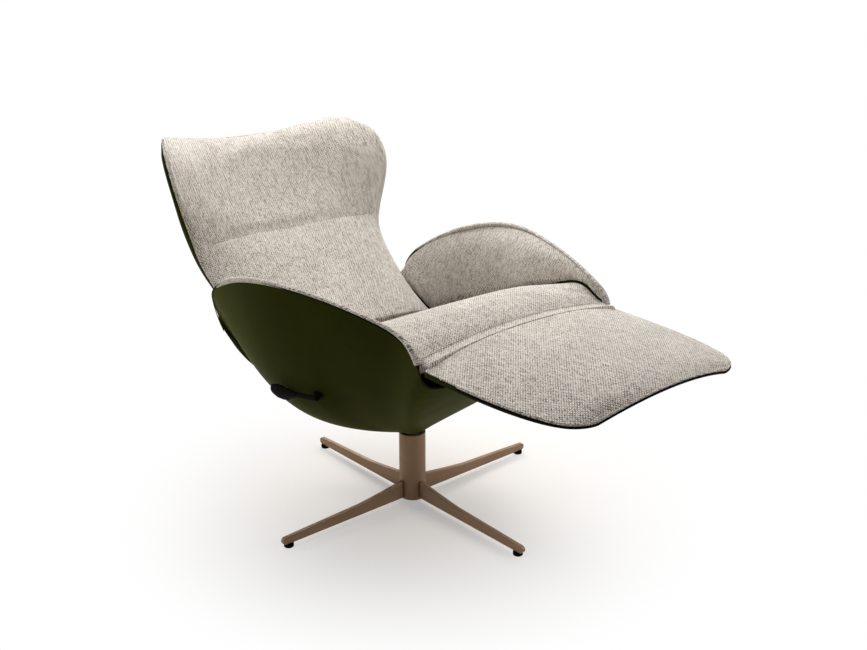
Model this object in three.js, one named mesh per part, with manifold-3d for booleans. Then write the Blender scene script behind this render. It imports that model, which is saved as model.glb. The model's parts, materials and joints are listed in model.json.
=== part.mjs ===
// A star base swivel recliner, reclined and with its footrest raised.
// Millimetres, +Z up. The floor is z = 0, the swivel axis is the Z axis and the sitter faces -Y.
// Left and right are the sitter's: left is +X. The release lever is on the right.
import * as THREE from "three";
import { mergeVertices } from "three/addons/utils/BufferGeometryUtils.js";
import Module from "manifold-3d";

const wasm = await Module();
wasm.setup();

// Clearances
const seamGap = 0.4; // between pieces that rest on each other
const runningGap = 1; // between plates that turn beside each other
const cushionGap = 3.5; // between soft pieces that lie side by side
const cutOverrun = 2; // how far a cutting tool passes the wall it cuts
const weldDistance = 0.0005; // points closer than this are one point

// Facets of round pieces
const turnedSides = 32;
const finerSides = 24;
const rodSides = 16;

// Star base
const baseRadius = 370; // swivel axis to leg tip
const columnRadius = 31;
const columnWall = 7;
const columnFoot = 4; // column's lower end above the floor
const columnTop = 170;
const stepHeight = 22; // inner step that carries the thrust washer
const stepBore = 12;
const legThickness = 12;
const legRootHeight = 42;
const legWaistHeight = 25;
const legTipHeight = 17;
const legWaistShare = 0.38; // of the leg's length, from the column
const legCurveShares = [0.55, 0.35]; // middle of the curve from the waist to the root, along and up
const legTipSides = 6;
const glideRadius = 11;
const glideHeight = 8;
const glideInset = 17; // leg tip to the glide's middle
const glideChamfer = 1.5;
const legEdge = 1.5; // rounded edge of a leg

// Swivel
const spindleRadius = 19;
const spindleFlangeRadius = 48;
const spindleFlangeThickness = 6;
const bushLength = 24;
const bushInset = 2; // upper bush below the column's mouth
const washerThickness = 4;

// Bucket: a bowl that rises into the two arms
const bucketFloor = 174; // its underside at the column
const bucketDepth = 423; // from there to the top of the arms
const bucketHalfWidth = 358;
const bucketHalfLength = 360;
const bucketWall = 8;
const bucketRimWall = 4; // where the wall thins towards its rim
const bucketRimShare = 0.85; // up the wall, where it starts to thin
const bucketHole = 27; // bore for the spindle
// Places along the chair, from the swivel axis towards the rear, as shares of the bucket's half length
const alongShares = {
  footRear: -1.0083,
  footHinge: -0.9778,
  seatFront: -0.9444,
  railNeckRear: -0.9306,
  boardFront: -0.8472,
  crossTube: -0.5972,
  springFront: -0.5,
  cableCross: -0.2083,
  plateFront: -0.1528,
  leverPivot: -0.0389,
  plateRear: 0.375,
  boardRear: 0.3889,
  seatRear: 0.4583,
  backFoot: 0.5694,
  springPin: 0.625,
  backHinge: 0.6667,
};
const alongChair = (place) => alongShares[place] * bucketHalfLength;
// Half of the rim from the front middle to the rear middle, and the belly that the wall swings through below
// it. Each is a share of the half width, of the half length and of the depth. The rise is how far the floor
// climbs on its way to the belly, as a share of the belly's height.
const bucketShares = [
  { rim: [0, -0.894, 0.6], belly: [0, -0.65, 0.386], rise: 0.56 },
  { rim: [0.363, -0.9, 0.602], belly: [0.26, -0.648, 0.383], rise: 0.56 },
  { rim: [0.628, -0.911, 0.622], belly: [0.47, -0.648, 0.387], rise: 0.55 },
  { rim: [0.732, -0.933, 0.709], belly: [0.589, -0.648, 0.406], rise: 0.53 },
  { rim: [0.76, -0.95, 0.79], belly: [0.645, -0.635, 0.43], rise: 0.5 },
  { rim: [0.768, -0.833, 0.877], belly: [0.693, -0.556, 0.445], rise: 0.45 },
  { rim: [0.841, -0.578, 0.941], belly: [0.775, -0.38, 0.42], rise: 0.4 },
  { rim: [0.919, -0.278, 0.983], belly: [0.84, -0.17, 0.36], rise: 0.37 },
  { rim: [1, 0.056, 1], belly: [0.89, 0.05, 0.25], rise: 0.3 },
  { rim: [1, 0.439, 0.95], belly: [0.88, 0.375, 0.1], rise: 0.45 },
  { rim: [0.908, 0.853, 0.799], belly: [0.74, 0.6, 0.025], rise: 1 },
  { rim: [0.832, 0.992, 0.69], belly: [0.59, 0.7, 0.03], rise: 1 },
  { rim: [0.793, 1.017, 0.6], belly: [0.55, 0.72, 0.03], rise: 1 },
  { rim: [0.76, 0.95, 0.496], belly: [0.52, 0.72, 0.03], rise: 1 },
  { rim: [0.665, 0.885, 0.416], belly: [0.45, 0.73, 0.03], rise: 1 },
  { rim: [0.391, 0.862, 0.378], belly: [0.27, 0.74, 0.03], rise: 1 },
  { rim: [0, 0.856, 0.369], belly: [0, 0.74, 0.03], rise: 1 },
];
const bucketFloorShare = 0.55; // of the way to the belly
const bucketColumns = 60;
const bucketRowShares = [0, 0.12, 0.26, 0.4, 0.52, 0.63, 0.73, 0.82, 0.9, 0.96, 1];
// The part of the way round, from the front middle, in which the wall stands beside the seat.
const sideFrontShare = 2.2 / 32;
const sideCornerShare = 4.9 / 32; // where the rim has turned the corner at the front of an arm
const sideRearShare = 12.5 / 32;

// Arm pads: padded linings of the arms
const armPadThickness = 32;
const armPadEdge = 5;
const armPadGap = 3.3; // to the bucket, whose facets don't match the pad's
const armPadSewnGap = 1.5; // where the pad is sewn in under the rim
const armPadSewnShare = 0.8; // up the pad, from where it closes in
const armPadFrontShare = 4.4 / 32; // round the bucket, from the front middle
const armPadRearShare = 12.1 / 32;
const armPadHighShare = 1.006; // up the wall, past its rim
const armPadRearHighShare = 0.985; // at the rear
const armPadRearThinShare = 0.4; // of the thickness, left beside the back
const armPadThinShares = [0.5, 0.85]; // where along the pad it thins
const armPadDomePower = 4;
const armPadRearLow = 334; // lower edge behind the seat
const armPadTailLow = 415; // and at the bucket's rear
const armPadColumns = 30;
const armPadRows = 12;

// Hinges
const footHingeY = alongChair("footHinge");
const footHingeZ = 473;
const footBoss = 8;
const backHingeY = alongChair("backHinge");
const backHingeZ = 335;
const backBoss = 13;
const pinRadius = 5;
const pinGap = 0.3;

// Seat frame
const railShare = 0.5307; // of the bucket's half width, from the swivel axis to the inner face of a side rail
const railInner = railShare * bucketHalfWidth;
const railThickness = 6;
const bracketThickness = 6;
const plateRise = 96; // seat plate above the bucket's underside
const plateBottom = bucketFloor + plateRise;
const plateThickness = 6;
const plateFront = alongChair("plateFront");
const plateSideFront = 0;
const plateRear = alongChair("plateRear");
const plateBolts = 4;
const plateBoltRadius = 4;
const boltSides = 6;
const plateBoltHead = 7;
const plateBoltHeadHeight = 5;
const plateBoltCircle = 34; // bolts through the spindle's flange
const crossTubeRadius = 11;
const crossTubeY = alongChair("crossTube");
const crossTubeZ = 388;
const railNeck = 13; // height of the rail where it passes over the footrest's turning edge
const railNeckRear = alongChair("railNeckRear");
const railThroat = 20; // height of the rail behind the bucket's lip
// Corners of the rail: shares of the way along, then up, between the pieces that it joins.
const railRearTopShares = [0.6, 0.62];
const railRearLowShares = [0.6, 0.25];
const railBellyShares = [0.6, 0.21];
const railChestShares = [0.2, 0.66];
const railThroatShares = [0.4, 0.55];
const bossPlateShare = 0.8; // of a boss, the half width of the plate that meets it

// Seat board and cushion
const boardThickness = 12;
const boardFrontY = alongChair("boardFront");
const boardFrontZ = 465; // top of the board at its front edge
const boardRearY = alongChair("boardRear");
const boardDrop = 134; // how much lower its rear edge is
const boardOverhang = 6; // past the rails that carry it
const seatFrontY = alongChair("seatFront");
const seatRearY = alongChair("seatRear");
const seatThickness = 108;
const seatSideShare = 0.82; // of the height, left at the sides
const seatSideEndShare = 0.93; // of the length, up to where the arm pads stand on the cushion
const seatSideEndY = seatFrontY + seatSideEndShare * (seatRearY - seatFrontY);
// Top and underside of the seat cushion from the side: share of its length from the front, share of its thickness.
const seatTopShares = [
  [0.02, 0.13],
  [0, 0.3],
  [0.055, 0.57],
  [0.12, 0.87],
  [0.2, 1],
  [0.34, 0.94],
  [0.6, 0.77],
  [0.85, 0.59],
  [0.945, 0.5],
  [0.98, 0.38],
  [0.97, 0.2],
];
const seatUnderShares = [
  [0.06, 0.004],
  [0.2, 0.004],
  [0.6, 0.004],
  [0.9, 0.004],
  [0.945, 0.02],
];
const seatCrownPower = 2.6;
const seatRows = 17;
const seatColumns = 17;

// Back: rows from its foot to the top edge, each with the middle of the panel, its half width and its side edge.
// The middle and the edge are shares of the way from the foot to the reach and to the top.
const backReach = 668; // swivel axis to the back of the top edge
const backTop = 795; // height of the top corners
const backFootY = alongChair("backFoot");
const backFootZ = 349;
const backWingInset = 45; // the arms reach this much further out than the wings
const backHalfWidth = bucketHalfWidth - backWingInset;
const backRowShares = [
  { middle: [0, 0], width: 0.775, edge: [0.007, -0.015] },
  { middle: [0.253, 0.132], width: 0.797, edge: [0.227, 0.1] },
  { middle: [0.443, 0.267], width: 0.828, edge: [0.41, 0.248] },
  { middle: [0.626, 0.415], width: 0.855, edge: [0.544, 0.389] },
  { middle: [0.749, 0.529], width: 0.9, edge: [0.566, 0.528] },
  { middle: [0.836, 0.652], width: 0.955, edge: [0.566, 0.658] },
  { middle: [0.9, 0.765], width: 0.994, edge: [0.577, 0.774] },
  { middle: [0.951, 0.856], width: 1, edge: [0.616, 0.872] },
  { middle: [0.983, 0.916], width: 0.958, edge: [0.713, 0.973] },
  { middle: [1, 0.945], width: 0.802, edge: [0.925, 1] },
];
const backWingPower = 2.2; // how late the panel curls forward into the wings
const backShellWall = 8;
const backHollow = 30; // room for the brackets behind the back board
const backHeadHollow = 12;
const backHollowPower = 8;
const backHollowShares = [0.42, 0.72]; // up the back, where it gets shallower
const backHollowEndShare = 0.1; // of the back, over which it closes at the top
const backBoardThickness = 8;
const backBoardShare = 0.623; // of the back's half width
const backBoardLowShare = 0.05;
const backBoardHighShare = 0.8;
const backCushionLow = 55;
const backCushionHead = 40;
const backCushionEdge = 7;
const backCushionShares = [0.25, 0.7]; // up the back, where the cushion gets thinner
const backCushionEndShare = 0.2; // of the back, over which its ends round off
const backCushionFootShare = 0.75; // of its thickness, at the lower end
const backCrownPowers = [3, 0.6];
const seamDepth = 9;
const seamEndPower = 4; // how late the seam gets shallower towards the sides
const seamMiddleShare = 0.333; // up the back, where the seam crosses the middle
const seamSideRiseShare = 0.08; // how much further up it meets the sides
const backColumns = 19;
// Rows of the cushion as shares of its height; three of them shape the sewn seam.
const backCushionRowShares = [
  0, 0.025, 0.07, 0.14, 0.21, 0.27, 0.31, 0.333, 0.356, 0.41, 0.48, 0.56, 0.64, 0.72, 0.8, 0.87, 0.93, 0.97, 1,
];
const backSheetRows = 20;
const backShellLowShare = 0.06;
const backShellFootShare = 0.93; // of the cushion's width, at the lower end
const backBoardRows = 16;
const backBoardColumns = 9;
const backBoardGap = 2;
const bracketBand = 10;
const bracketClearance = 3.6; // behind the back board
const bracketLowShare = 0.02; // up the back
const bracketHighShare = 0.42;
const bracketRows = 12;
const backRodBoss = 9.6;
const springPinY = alongChair("springPin");
const springPinZ = 285;

// Footrest
const footRearY = alongChair("footRear");
const footLength = 343; // at its sides
const footFrontY = footRearY - footLength;
const footFrontBow = 15; // how much further the middle of the front edge reaches
const footShare = 0.7598; // of the bucket's half width
const footHalfWidth = footShare * bucketHalfWidth;
const footTaper = 46; // from its rear to its front corners
const footFrontHalfWidth = footHalfWidth - footTaper;
const footTaperPower = 3.3;
const footCorner = 44;
const footEdgeZ = 501; // top of the pad's edge at the rear
const footRise = 14; // how much higher the middle of the front edge lies
const footArch = 26; // how much lower than that the front corners lie
const footPadEdge = 3;
const footBowPower = 4;
const footCrown = 35;
const footCrownPower = 2.6; // across
const footCrownEndPower = 2.4; // along
const footCrownFrontShare = 0.7; // of the crown, left at the front
const footShellWall = 4;
const footShellHem = 6; // added to the wall along the side edges
const footShellDepth = 43;
const footShellPower = 4;
const footHemPowers = [12, 6]; // across and along
const footColumns = 17;
const footRows = 13;
const footArmReach = 175;
const footArmHeight = 16;

// Hinge strip between seat and footrest
const stripHeight = 30;
const stripSideDrop = 22;
const stripShare = 0.6983; // of the bucket's half width
const stripHalfWidth = stripShare * bucketHalfWidth;
const stripDipShare = 0.33; // of its height, how deep its middle dips
const stripRearShare = 0.17; // of its height, how much lower its rear edge lies
const stripStations = 15;

// Gas spring
const springFrontY = alongChair("springFront");
const springFrontZ = 345;
const springRodRadius = 5;
const springTubeRadius = 11;
const springTubeLength = 215;
const springNeck = 16; // middle of the rear eye to the tube's end
const springRodInside = 100; // rod held in the tube at rest
const springBoreDepth = 125;
const springNeckRadius = 6.6;
const springEye = 13;
const springEyeBore = 9;
const springEyeWidth = 16;
const springRodEye = 10;
const springLugThickness = 5;
const backRodRadius = 6;

// Release lever: its pivot stands square to the bucket's wall, and it runs along the wall towards the rear
const leverPivotY = alongChair("leverPivot");
const leverPivotZ = 341;
const leverReach = 103; // pivot to the middle of its head
const leverHeadZ = 331;
const leverStandoff = 13; // wall to the middle of the lever
const leverThickness = 11;
const leverNeckHeight = 15;
const leverHeadHeight = 29;
const leverHeadLength = 50;
// Sections of the lever's neck and head: along it as a share of the neck's height or of half the head's length,
// then half its height as a share of the neck's or the head's, then half its thickness as a share of the lever's.
const leverNeckShares = [[-0.5, 0.22, 0.3], [-0.3, 0.42, 0.45], [0, 0.5, 0.5], [3.1, 0.52, 0.45]];
const leverHeadShares = [[-1, 0.32, 0.45], [-0.55, 0.46, 0.5], [0, 0.5, 0.55], [0.6, 0.42, 0.5], [1, 0.2, 0.3]];
const leverSides = 14;
const leverShaftRadius = 6;
const leverShaftBore = 8;
const leverShaftInside = 34; // length of the shaft inside the wall
const leverCollar = 12;
const leverCollarThickness = 2.5;
const leverBushGap = 1.5; // under the collar, on the curved wall
const leverBushLength = 26;
const camReach = 17;
const camEndRadius = 6;
const camArmHalf = 4.8;
const camThickness = 4;
const cableRadius = 3;
const cableBore = 5;
const cableSides = 8;
const cableSteps = 24;
const cableStraight = 12; // to each side of the rail that it passes
const cableBendShare = 0.3; // of the way from its end to the rail
const cableCrossY = alongChair("cableCross"); // where the cable passes the right rail
const cableCrossZ = 352;

const finishes = {
  fabric: { color: 0xb5aa9b, roughness: 0.95, metalness: 0 },
  leather: { color: 0x2c3118, roughness: 0.5, metalness: 0 },
  bronze: { color: 0x85705f, roughness: 0.45, metalness: 0.6 },
  steel: { color: 0x5b5d60, roughness: 0.4, metalness: 0.9 },
  black: { color: 0x0d0d0e, roughness: 0.5, metalness: 0 },
  board: { color: 0xa98a63, roughness: 0.8, metalness: 0 },
};

const chair = new THREE.Group();
const base = new THREE.Group();
const seat = new THREE.Group();
const back = new THREE.Group();
const footrest = new THREE.Group();
const spring = new THREE.Group();
const lever = new THREE.Group();
chair.add(base, seat);
seat.add(back, footrest, spring, lever);

function addPiece(group, name, geometry, finish) {
  const piece = new THREE.Mesh(geometry, new THREE.MeshStandardMaterial(finishes[finish]));
  piece.name = name;
  group.add(piece);
  return piece;
}

// Merges equal points and turns the faces outwards.
function closed(geometry) {
  const bare = geometry.clone();
  bare.deleteAttribute("normal");
  bare.deleteAttribute("uv");
  const merged = mergeVertices(bare, weldDistance);
  const at = merged.attributes.position;
  const index = merged.index;
  const corners = [new THREE.Vector3(), new THREE.Vector3(), new THREE.Vector3()];
  let volume = 0;
  for (let face = 0; face < index.count; face += 3) {
    corners.forEach((corner, k) => corner.fromBufferAttribute(at, index.getX(face + k)));
    volume += corners[0].dot(corners[1].cross(corners[2]));
  }
  if (volume < 0)
    for (let face = 0; face < index.count; face += 3) {
      const second = index.getX(face + 1);
      index.setX(face + 1, index.getX(face + 2));
      index.setX(face + 2, second);
    }
  merged.computeVertexNormals();
  return merged;
}

function geometryOf(points, faces) {
  const geometry = new THREE.BufferGeometry();
  geometry.setAttribute("position", new THREE.Float32BufferAttribute(points.flatMap((p) => [p.x, p.y, p.z]), 3));
  geometry.setIndex(faces);
  return closed(geometry);
}

// One closed body between two facing grids of points, each a list of rows. A wrapped grid closes on itself.
function bodyBetween(front, rear, wrapped) {
  const rows = front.length;
  const columns = front[0].length;
  const faces = [];
  const at = (side, row, column) => (side * rows + row) * columns + (column % columns);
  const quad = (a, b, c, d) => faces.push(a, b, c, a, c, d);
  const spans = wrapped ? columns : columns - 1;
  for (let column = 0; column < spans; column++) {
    for (let row = 0; row < rows - 1; row++) {
      quad(at(0, row, column), at(0, row, column + 1), at(0, row + 1, column + 1), at(0, row + 1, column));
      quad(at(1, row, column), at(1, row + 1, column), at(1, row + 1, column + 1), at(1, row, column + 1));
    }
    quad(at(0, 0, column), at(1, 0, column), at(1, 0, column + 1), at(0, 0, column + 1));
    const last = rows - 1;
    quad(at(0, last, column), at(0, last, column + 1), at(1, last, column + 1), at(1, last, column));
  }
  if (!wrapped)
    for (let row = 0; row < rows - 1; row++) {
      const end = columns - 1;
      quad(at(0, row, 0), at(0, row + 1, 0), at(1, row + 1, 0), at(1, row, 0));
      quad(at(0, row, end), at(1, row, end), at(1, row + 1, end), at(0, row + 1, end));
    }
  return geometryOf([...front.flat(), ...rear.flat()], faces);
}

// One closed body through a row of rings, closed at both ends by a fan round the ring's middle.
function bodyThrough(rings) {
  const count = rings[0].length;
  const points = rings.flat();
  const faces = [];
  for (let ring = 0; ring < rings.length - 1; ring++)
    for (let k = 0; k < count; k++) {
      const a = ring * count + k;
      const b = ring * count + ((k + 1) % count);
      faces.push(a, b, b + count, a, b + count, a + count);
    }
  for (const ring of [0, rings.length - 1]) {
    const middle = new THREE.Vector3();
    rings[ring].forEach((p) => middle.addScaledVector(p, 1 / count));
    points.push(middle);
    for (let k = 0; k < count; k++) {
      const a = ring * count + k;
      const b = ring * count + ((k + 1) % count);
      faces.push(...(ring ? [a, b, points.length - 1] : [b, a, points.length - 1]));
    }
  }
  return geometryOf(points, faces);
}

function solidOf(geometry) {
  const g = closed(geometry);
  const vertProperties = new Float32Array(g.attributes.position.array);
  return new wasm.Manifold(new wasm.Mesh({ numProp: 3, vertProperties, triVerts: new Uint32Array(g.index.array) }));
}

function geometryFrom(solid) {
  const mesh = solid.getMesh();
  const geometry = new THREE.BufferGeometry();
  geometry.setAttribute("position", new THREE.BufferAttribute(new Float32Array(mesh.vertProperties), mesh.numProp));
  geometry.setIndex(new THREE.BufferAttribute(new Uint32Array(mesh.triVerts), 1));
  return closed(geometry);
}

const joined = (geometries) => geometryFrom(geometries.map(solidOf).reduce((all, one) => all.add(one)));
const cut = (geometry, tools) =>
  geometryFrom(tools.map(solidOf).reduce((all, one) => all.subtract(one), solidOf(geometry)));

// A body of revolution round the Z axis, from [radius, height] pairs.
function turned(profile, sides = turnedSides) {
  const points = profile.map(([radius, height]) => new THREE.Vector2(radius, height));
  return new THREE.LatheGeometry(points, sides).rotateX(Math.PI / 2);
}

const ring = (inner, outer, low, high) =>
  turned([[inner, low], [outer, low], [outer, high], [inner, high], [inner, low]]);

function rod(from, to, radius, sides = rodSides) {
  const along = to.clone().sub(from);
  const geometry = new THREE.CylinderGeometry(radius, radius, along.length(), sides);
  const turn = new THREE.Quaternion().setFromUnitVectors(new THREE.Vector3(0, 1, 0), along.clone().normalize());
  const middle = from.clone().addScaledVector(along, 0.5);
  return geometry.applyQuaternion(turn).translate(middle.x, middle.y, middle.z);
}

// A rod that lies across the chair, and a plate that stands across it, drawn as seen from the side.
const crossRod = (fromX, toX, y, z, radius, sides) =>
  rod(new THREE.Vector3(fromX, y, z), new THREE.Vector3(toX, y, z), radius, sides);

function sidePlate(outline, fromX, toX) {
  const shape = new THREE.Shape(outline.map(([y, z]) => new THREE.Vector2(y, z)));
  const geometry = new THREE.ExtrudeGeometry(shape, { depth: Math.abs(toX - fromX), bevelEnabled: false });
  const axes = new THREE.Matrix4().makeBasis(
    new THREE.Vector3(0, 1, 0), new THREE.Vector3(0, 0, 1), new THREE.Vector3(1, 0, 0));
  return geometry.applyMatrix4(axes).translate(Math.min(fromX, toX), 0, 0);
}

// The share from 0 to 1 up to which a test holds.
function shareWhere(test) {
  let low = 0;
  let high = 1;
  for (let k = 0; k < 18; k++) {
    const middle = (low + high) / 2;
    if (test(middle)) low = middle;
    else high = middle;
  }
  return low;
}

const lerp = THREE.MathUtils.lerp;
const clamp = THREE.MathUtils.clamp;
const smoothstep = THREE.MathUtils.smoothstep;
const steps = (count) => Array.from({ length: count }, (_, k) => k / (count - 1));
const circle = (count) => Array.from({ length: count }, (_, k) => (k / count) * 2 * Math.PI);
const spread = (count) => steps(count).map((k) => Math.sin((k - 0.5) * Math.PI));
const dome = (share, power) => Math.sqrt(Math.max(0, 1 - Math.abs(share) ** power));

// Star base
function addBase() {
  const boreRadius = columnRadius - columnWall;
  addPiece(base, "column", turned([
    [stepBore, columnFoot], [columnRadius, columnFoot], [columnRadius, columnTop], [boreRadius, columnTop],
    [boreRadius, stepHeight], [stepBore, stepHeight], [stepBore, columnFoot],
  ]), "bronze");
  addPiece(base, "column_plug", turned([
    [0, columnFoot], [stepBore - seamGap, columnFoot], [stepBore - seamGap, stepHeight], [0, stepHeight],
  ]), "black");
  const washerTop = stepHeight + seamGap + washerThickness;
  addPiece(base, "thrust_washer", turned([
    [0, stepHeight + seamGap], [boreRadius - seamGap, stepHeight + seamGap], [boreRadius - seamGap, washerTop],
    [0, washerTop],
  ]), "steel");
  const bushInner = spindleRadius + seamGap;
  const bushOuter = boreRadius - seamGap;
  const lowerBush = washerTop + seamGap;
  addPiece(base, "lower_bush", ring(bushInner, bushOuter, lowerBush, lowerBush + bushLength), "black");
  const upperBush = columnTop - bushInset - bushLength;
  addPiece(base, "upper_bush", ring(bushInner, bushOuter, upperBush, upperBush + bushLength), "black");

  const root = columnRadius + seamGap;
  const waist = lerp(root, baseRadius, legWaistShare);
  const under = glideHeight + seamGap;
  const profile = new THREE.Shape();
  profile.moveTo(root, under);
  profile.lineTo(baseRadius - legTipHeight / 2, under);
  profile.absarc(baseRadius - legTipHeight / 2, under + legTipHeight / 2, legTipHeight / 2, -Math.PI / 2, Math.PI / 2);
  profile.lineTo(waist, under + legWaistHeight);
  profile.quadraticCurveTo(lerp(root, waist, legCurveShares[0]),
    under + lerp(legWaistHeight, legRootHeight, legCurveShares[1]), root, under + legRootHeight);
  const blade = new THREE.ExtrudeGeometry(profile, {
    depth: legThickness - 2 * legEdge, bevelThickness: legEdge, bevelSize: legEdge, bevelOffset: -legEdge,
    bevelSegments: 1, curveSegments: legTipSides,
  });
  blade.translate(0, 0, legEdge - legThickness / 2).rotateX(Math.PI / 2);
  const glide = turned([
    [0, 0], [glideRadius - glideChamfer, 0], [glideRadius, glideChamfer], [glideRadius, glideHeight],
    [0, glideHeight],
  ], finerSides).translate(baseRadius - glideInset, 0, 0);
  ["left", "rear", "right", "front"].forEach((side, k) => {
    const arm = new THREE.Group();
    arm.rotation.z = (k * Math.PI) / 2;
    base.add(arm);
    addPiece(arm, "leg_" + side, closed(blade), "bronze");
    addPiece(arm, "glide_" + side, closed(glide), "black");
  });
}

// Bucket
const bucketPlace = ([x, y, z], side) =>
  new THREE.Vector3(side * x * bucketHalfWidth, y * bucketHalfLength, bucketFloor + z * bucketDepth);

function bucketLoop(place) {
  const left = bucketShares.map((row) => place(row, 1));
  const right = bucketShares.slice(1, -1).reverse().map((row) => place(row, -1));
  return new THREE.CatmullRomCurve3([...left, ...right], true, "centripetal");
}

const rimLoop = bucketLoop((row, side) => bucketPlace(row.rim, side));
const bellyLoop = bucketLoop((row, side) => bucketPlace(row.belly, side));
const floorLoop = bucketLoop((row, side) => bucketPlace([
  row.belly[0] * bucketFloorShare, row.belly[1] * bucketFloorShare, row.belly[2] * row.rise,
], side));

// The outside of the bucket, a share of the way round from the front middle and a share of the way up the wall.
function bucketPoint(round, up) {
  const turn = ((round % 1) + 1) % 1;
  const belly = bellyLoop.getPoint(turn);
  const start = new THREE.Vector3(belly.x, belly.y, 0).setLength(bucketHole).setZ(bucketFloor);
  return new THREE.CubicBezierCurve3(start, floorLoop.getPoint(turn), belly, rimLoop.getPoint(turn)).getPoint(up);
}

// The same place moved into the bucket, square to its wall.
function insideBucket(round, up, depth) {
  const small = 0.002;
  const low = Math.max(0, up - small);
  const across = bucketPoint(round + small, up).sub(bucketPoint(round - small, up));
  const rise = bucketPoint(round, up + small).sub(bucketPoint(round, low));
  const normal = rise.cross(across).normalize();
  return bucketPoint(round, up).addScaledVector(normal, depth);
}

// The place on the left wall, at a depth into it, that has a given height and distance from the front.
function wallAt(y, z, depth) {
  const placeOn = (round) => insideBucket(round, shareWhere((up) => insideBucket(round, up, depth).z < z), depth);
  const cornerAt = (share) => lerp(sideFrontShare, sideCornerShare, share);
  const corner = cornerAt(shareWhere((share) => insideBucket(cornerAt(share), 1, depth).z < z));
  const roundAt = (share) => lerp(corner, sideRearShare, share);
  return placeOn(roundAt(shareWhere((share) => placeOn(roundAt(share)).y < y)));
}

const mirrored = (place) => place.multiply(new THREE.Vector3(-1, 1, 1));

// The lever's pivot on the outside of the right wall, and its directions: along it, up it and away from the wall.
const leverRoot = mirrored(wallAt(leverPivotY, leverPivotZ, 0));
const leverHeadWall = mirrored(wallAt(leverPivotY + leverReach, leverHeadZ, 0));
const leverAlong = leverHeadWall.clone().sub(leverRoot).normalize();
const leverWallUp = mirrored(wallAt(leverPivotY + leverReach / 2, leverPivotZ + leverNeckHeight, 0))
  .sub(mirrored(wallAt(leverPivotY + leverReach / 2, leverPivotZ - leverNeckHeight, 0)));
const leverOut = leverWallUp.cross(leverAlong).normalize();
const leverUp = leverAlong.clone().cross(leverOut);
const leverPlace = (along, up, out) => leverRoot.clone()
  .addScaledVector(leverAlong, along).addScaledVector(leverUp, up).addScaledVector(leverOut, out);

const wallThickness = (up) => lerp(bucketWall, bucketRimWall, smoothstep(up, bucketRimShare, 1));

function addBucket() {
  const turns = Array.from({ length: bucketColumns }, (_, k) => k / bucketColumns);
  const sheet = (depthAt) => bucketRowShares.map((up) =>
    turns.map((round) => insideBucket(round, up, depthAt(up))));
  const bowl = bodyBetween(sheet(() => 0), sheet(wallThickness), true);
  const bore = rod(leverPlace(0, 0, leverStandoff), leverPlace(0, 0, -leverShaftInside), leverShaftBore);
  addPiece(seat, "bucket_shell", cut(bowl, [bore]), "leather");
}

// Arm pads: they start above the seat cushion and thin out beside the back.
const seatSideTop = (y) => seatTopAt(y, 1) + cushionGap;
const armLowAt = (round) => shareWhere((up) => {
  const place = insideBucket(round, up, bucketWall);
  const behind = clamp((place.y - seatRearY) / (springPinY - seatRearY), 0, 1);
  const tail = clamp((place.y - springPinY) / (bucketHalfLength - springPinY), 0, 1);
  return place.z < lerp(lerp(seatSideTop(Math.min(place.y, seatSideEndY)), armPadRearLow, behind), armPadTailLow, tail);
});

function armPadAt(along, up) {
  const thick = armPadThickness * lerp(1, armPadRearThinShare, smoothstep(along, ...armPadThinShares));
  return armPadEdge + (thick - armPadEdge) * dome(2 * along - 1, armPadDomePower) * dome(2 * up - 1, armPadDomePower);
}

function armPadPlace(along, up, inner) {
  const round = lerp(armPadFrontShare, armPadRearShare, along);
  const high = lerp(armLowAt(round), lerp(armPadHighShare, armPadRearHighShare, along), up);
  const gap = lerp(armPadGap, armPadSewnGap, smoothstep(up, armPadSewnShare, 1));
  const depth = wallThickness(high) + gap + (inner ? armPadAt(along, up) : 0);
  return insideBucket(round, high, depth);
}

function addArmPads() {
  const grid = (inner) => steps(armPadRows).map((up) =>
    steps(armPadColumns).map((along) => armPadPlace(along, up, inner)));
  const outer = grid(false);
  const inner = grid(true);
  addPiece(seat, "arm_pad_left", bodyBetween(outer, inner, false), "fabric");
  const flip = (rows) => rows.map((row) => row.map(mirrored));
  addPiece(seat, "arm_pad_right", bodyBetween(flip(outer), flip(inner), false), "fabric");
}

// Seat
const boardSlope = boardDrop / (boardRearY - boardFrontY);
const boardTop = (y) => boardFrontZ - boardSlope * (y - boardFrontY);
const seatHeightAt = (across) => seatThickness * lerp(seatSideShare, 1, 1 - Math.abs(across) ** seatCrownPower);

const seatCurve = (shares) => new THREE.CatmullRomCurve3(shares.map(([along, up]) =>
  new THREE.Vector3(0, lerp(seatFrontY, seatRearY, along), up)), false, "centripetal");
const seatTop = seatCurve(seatTopShares);
const seatUnder = seatCurve(seatUnderShares);
const seatHeight = (place, across) => boardTop(place.y) + seamGap + place.z * seatHeightAt(across);

// Height of the cushion's top at a distance from the front and a share across it.
const seatTopAt = (y, across) => seatHeight(seatTop.getPoint(shareWhere((t) => seatTop.getPoint(t).y < y)), across);

function addSeatCushion() {
  const sheet = (curve) => steps(seatRows).map((t) => {
    const place = curve.getPoint(t);
    const half = wallAt(place.y, seatHeight(place, 1), bucketWall).x - cushionGap;
    return spread(seatColumns).map((across) =>
      new THREE.Vector3(across * half, place.y, seatHeight(place, across)));
  });
  addPiece(seat, "seat_cushion", bodyBetween(sheet(seatTop), sheet(seatUnder), false), "fabric");
}

const springPinHalfWidth = () => springEyeWidth / 2 + runningGap + springLugThickness + cutOverrun;

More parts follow.
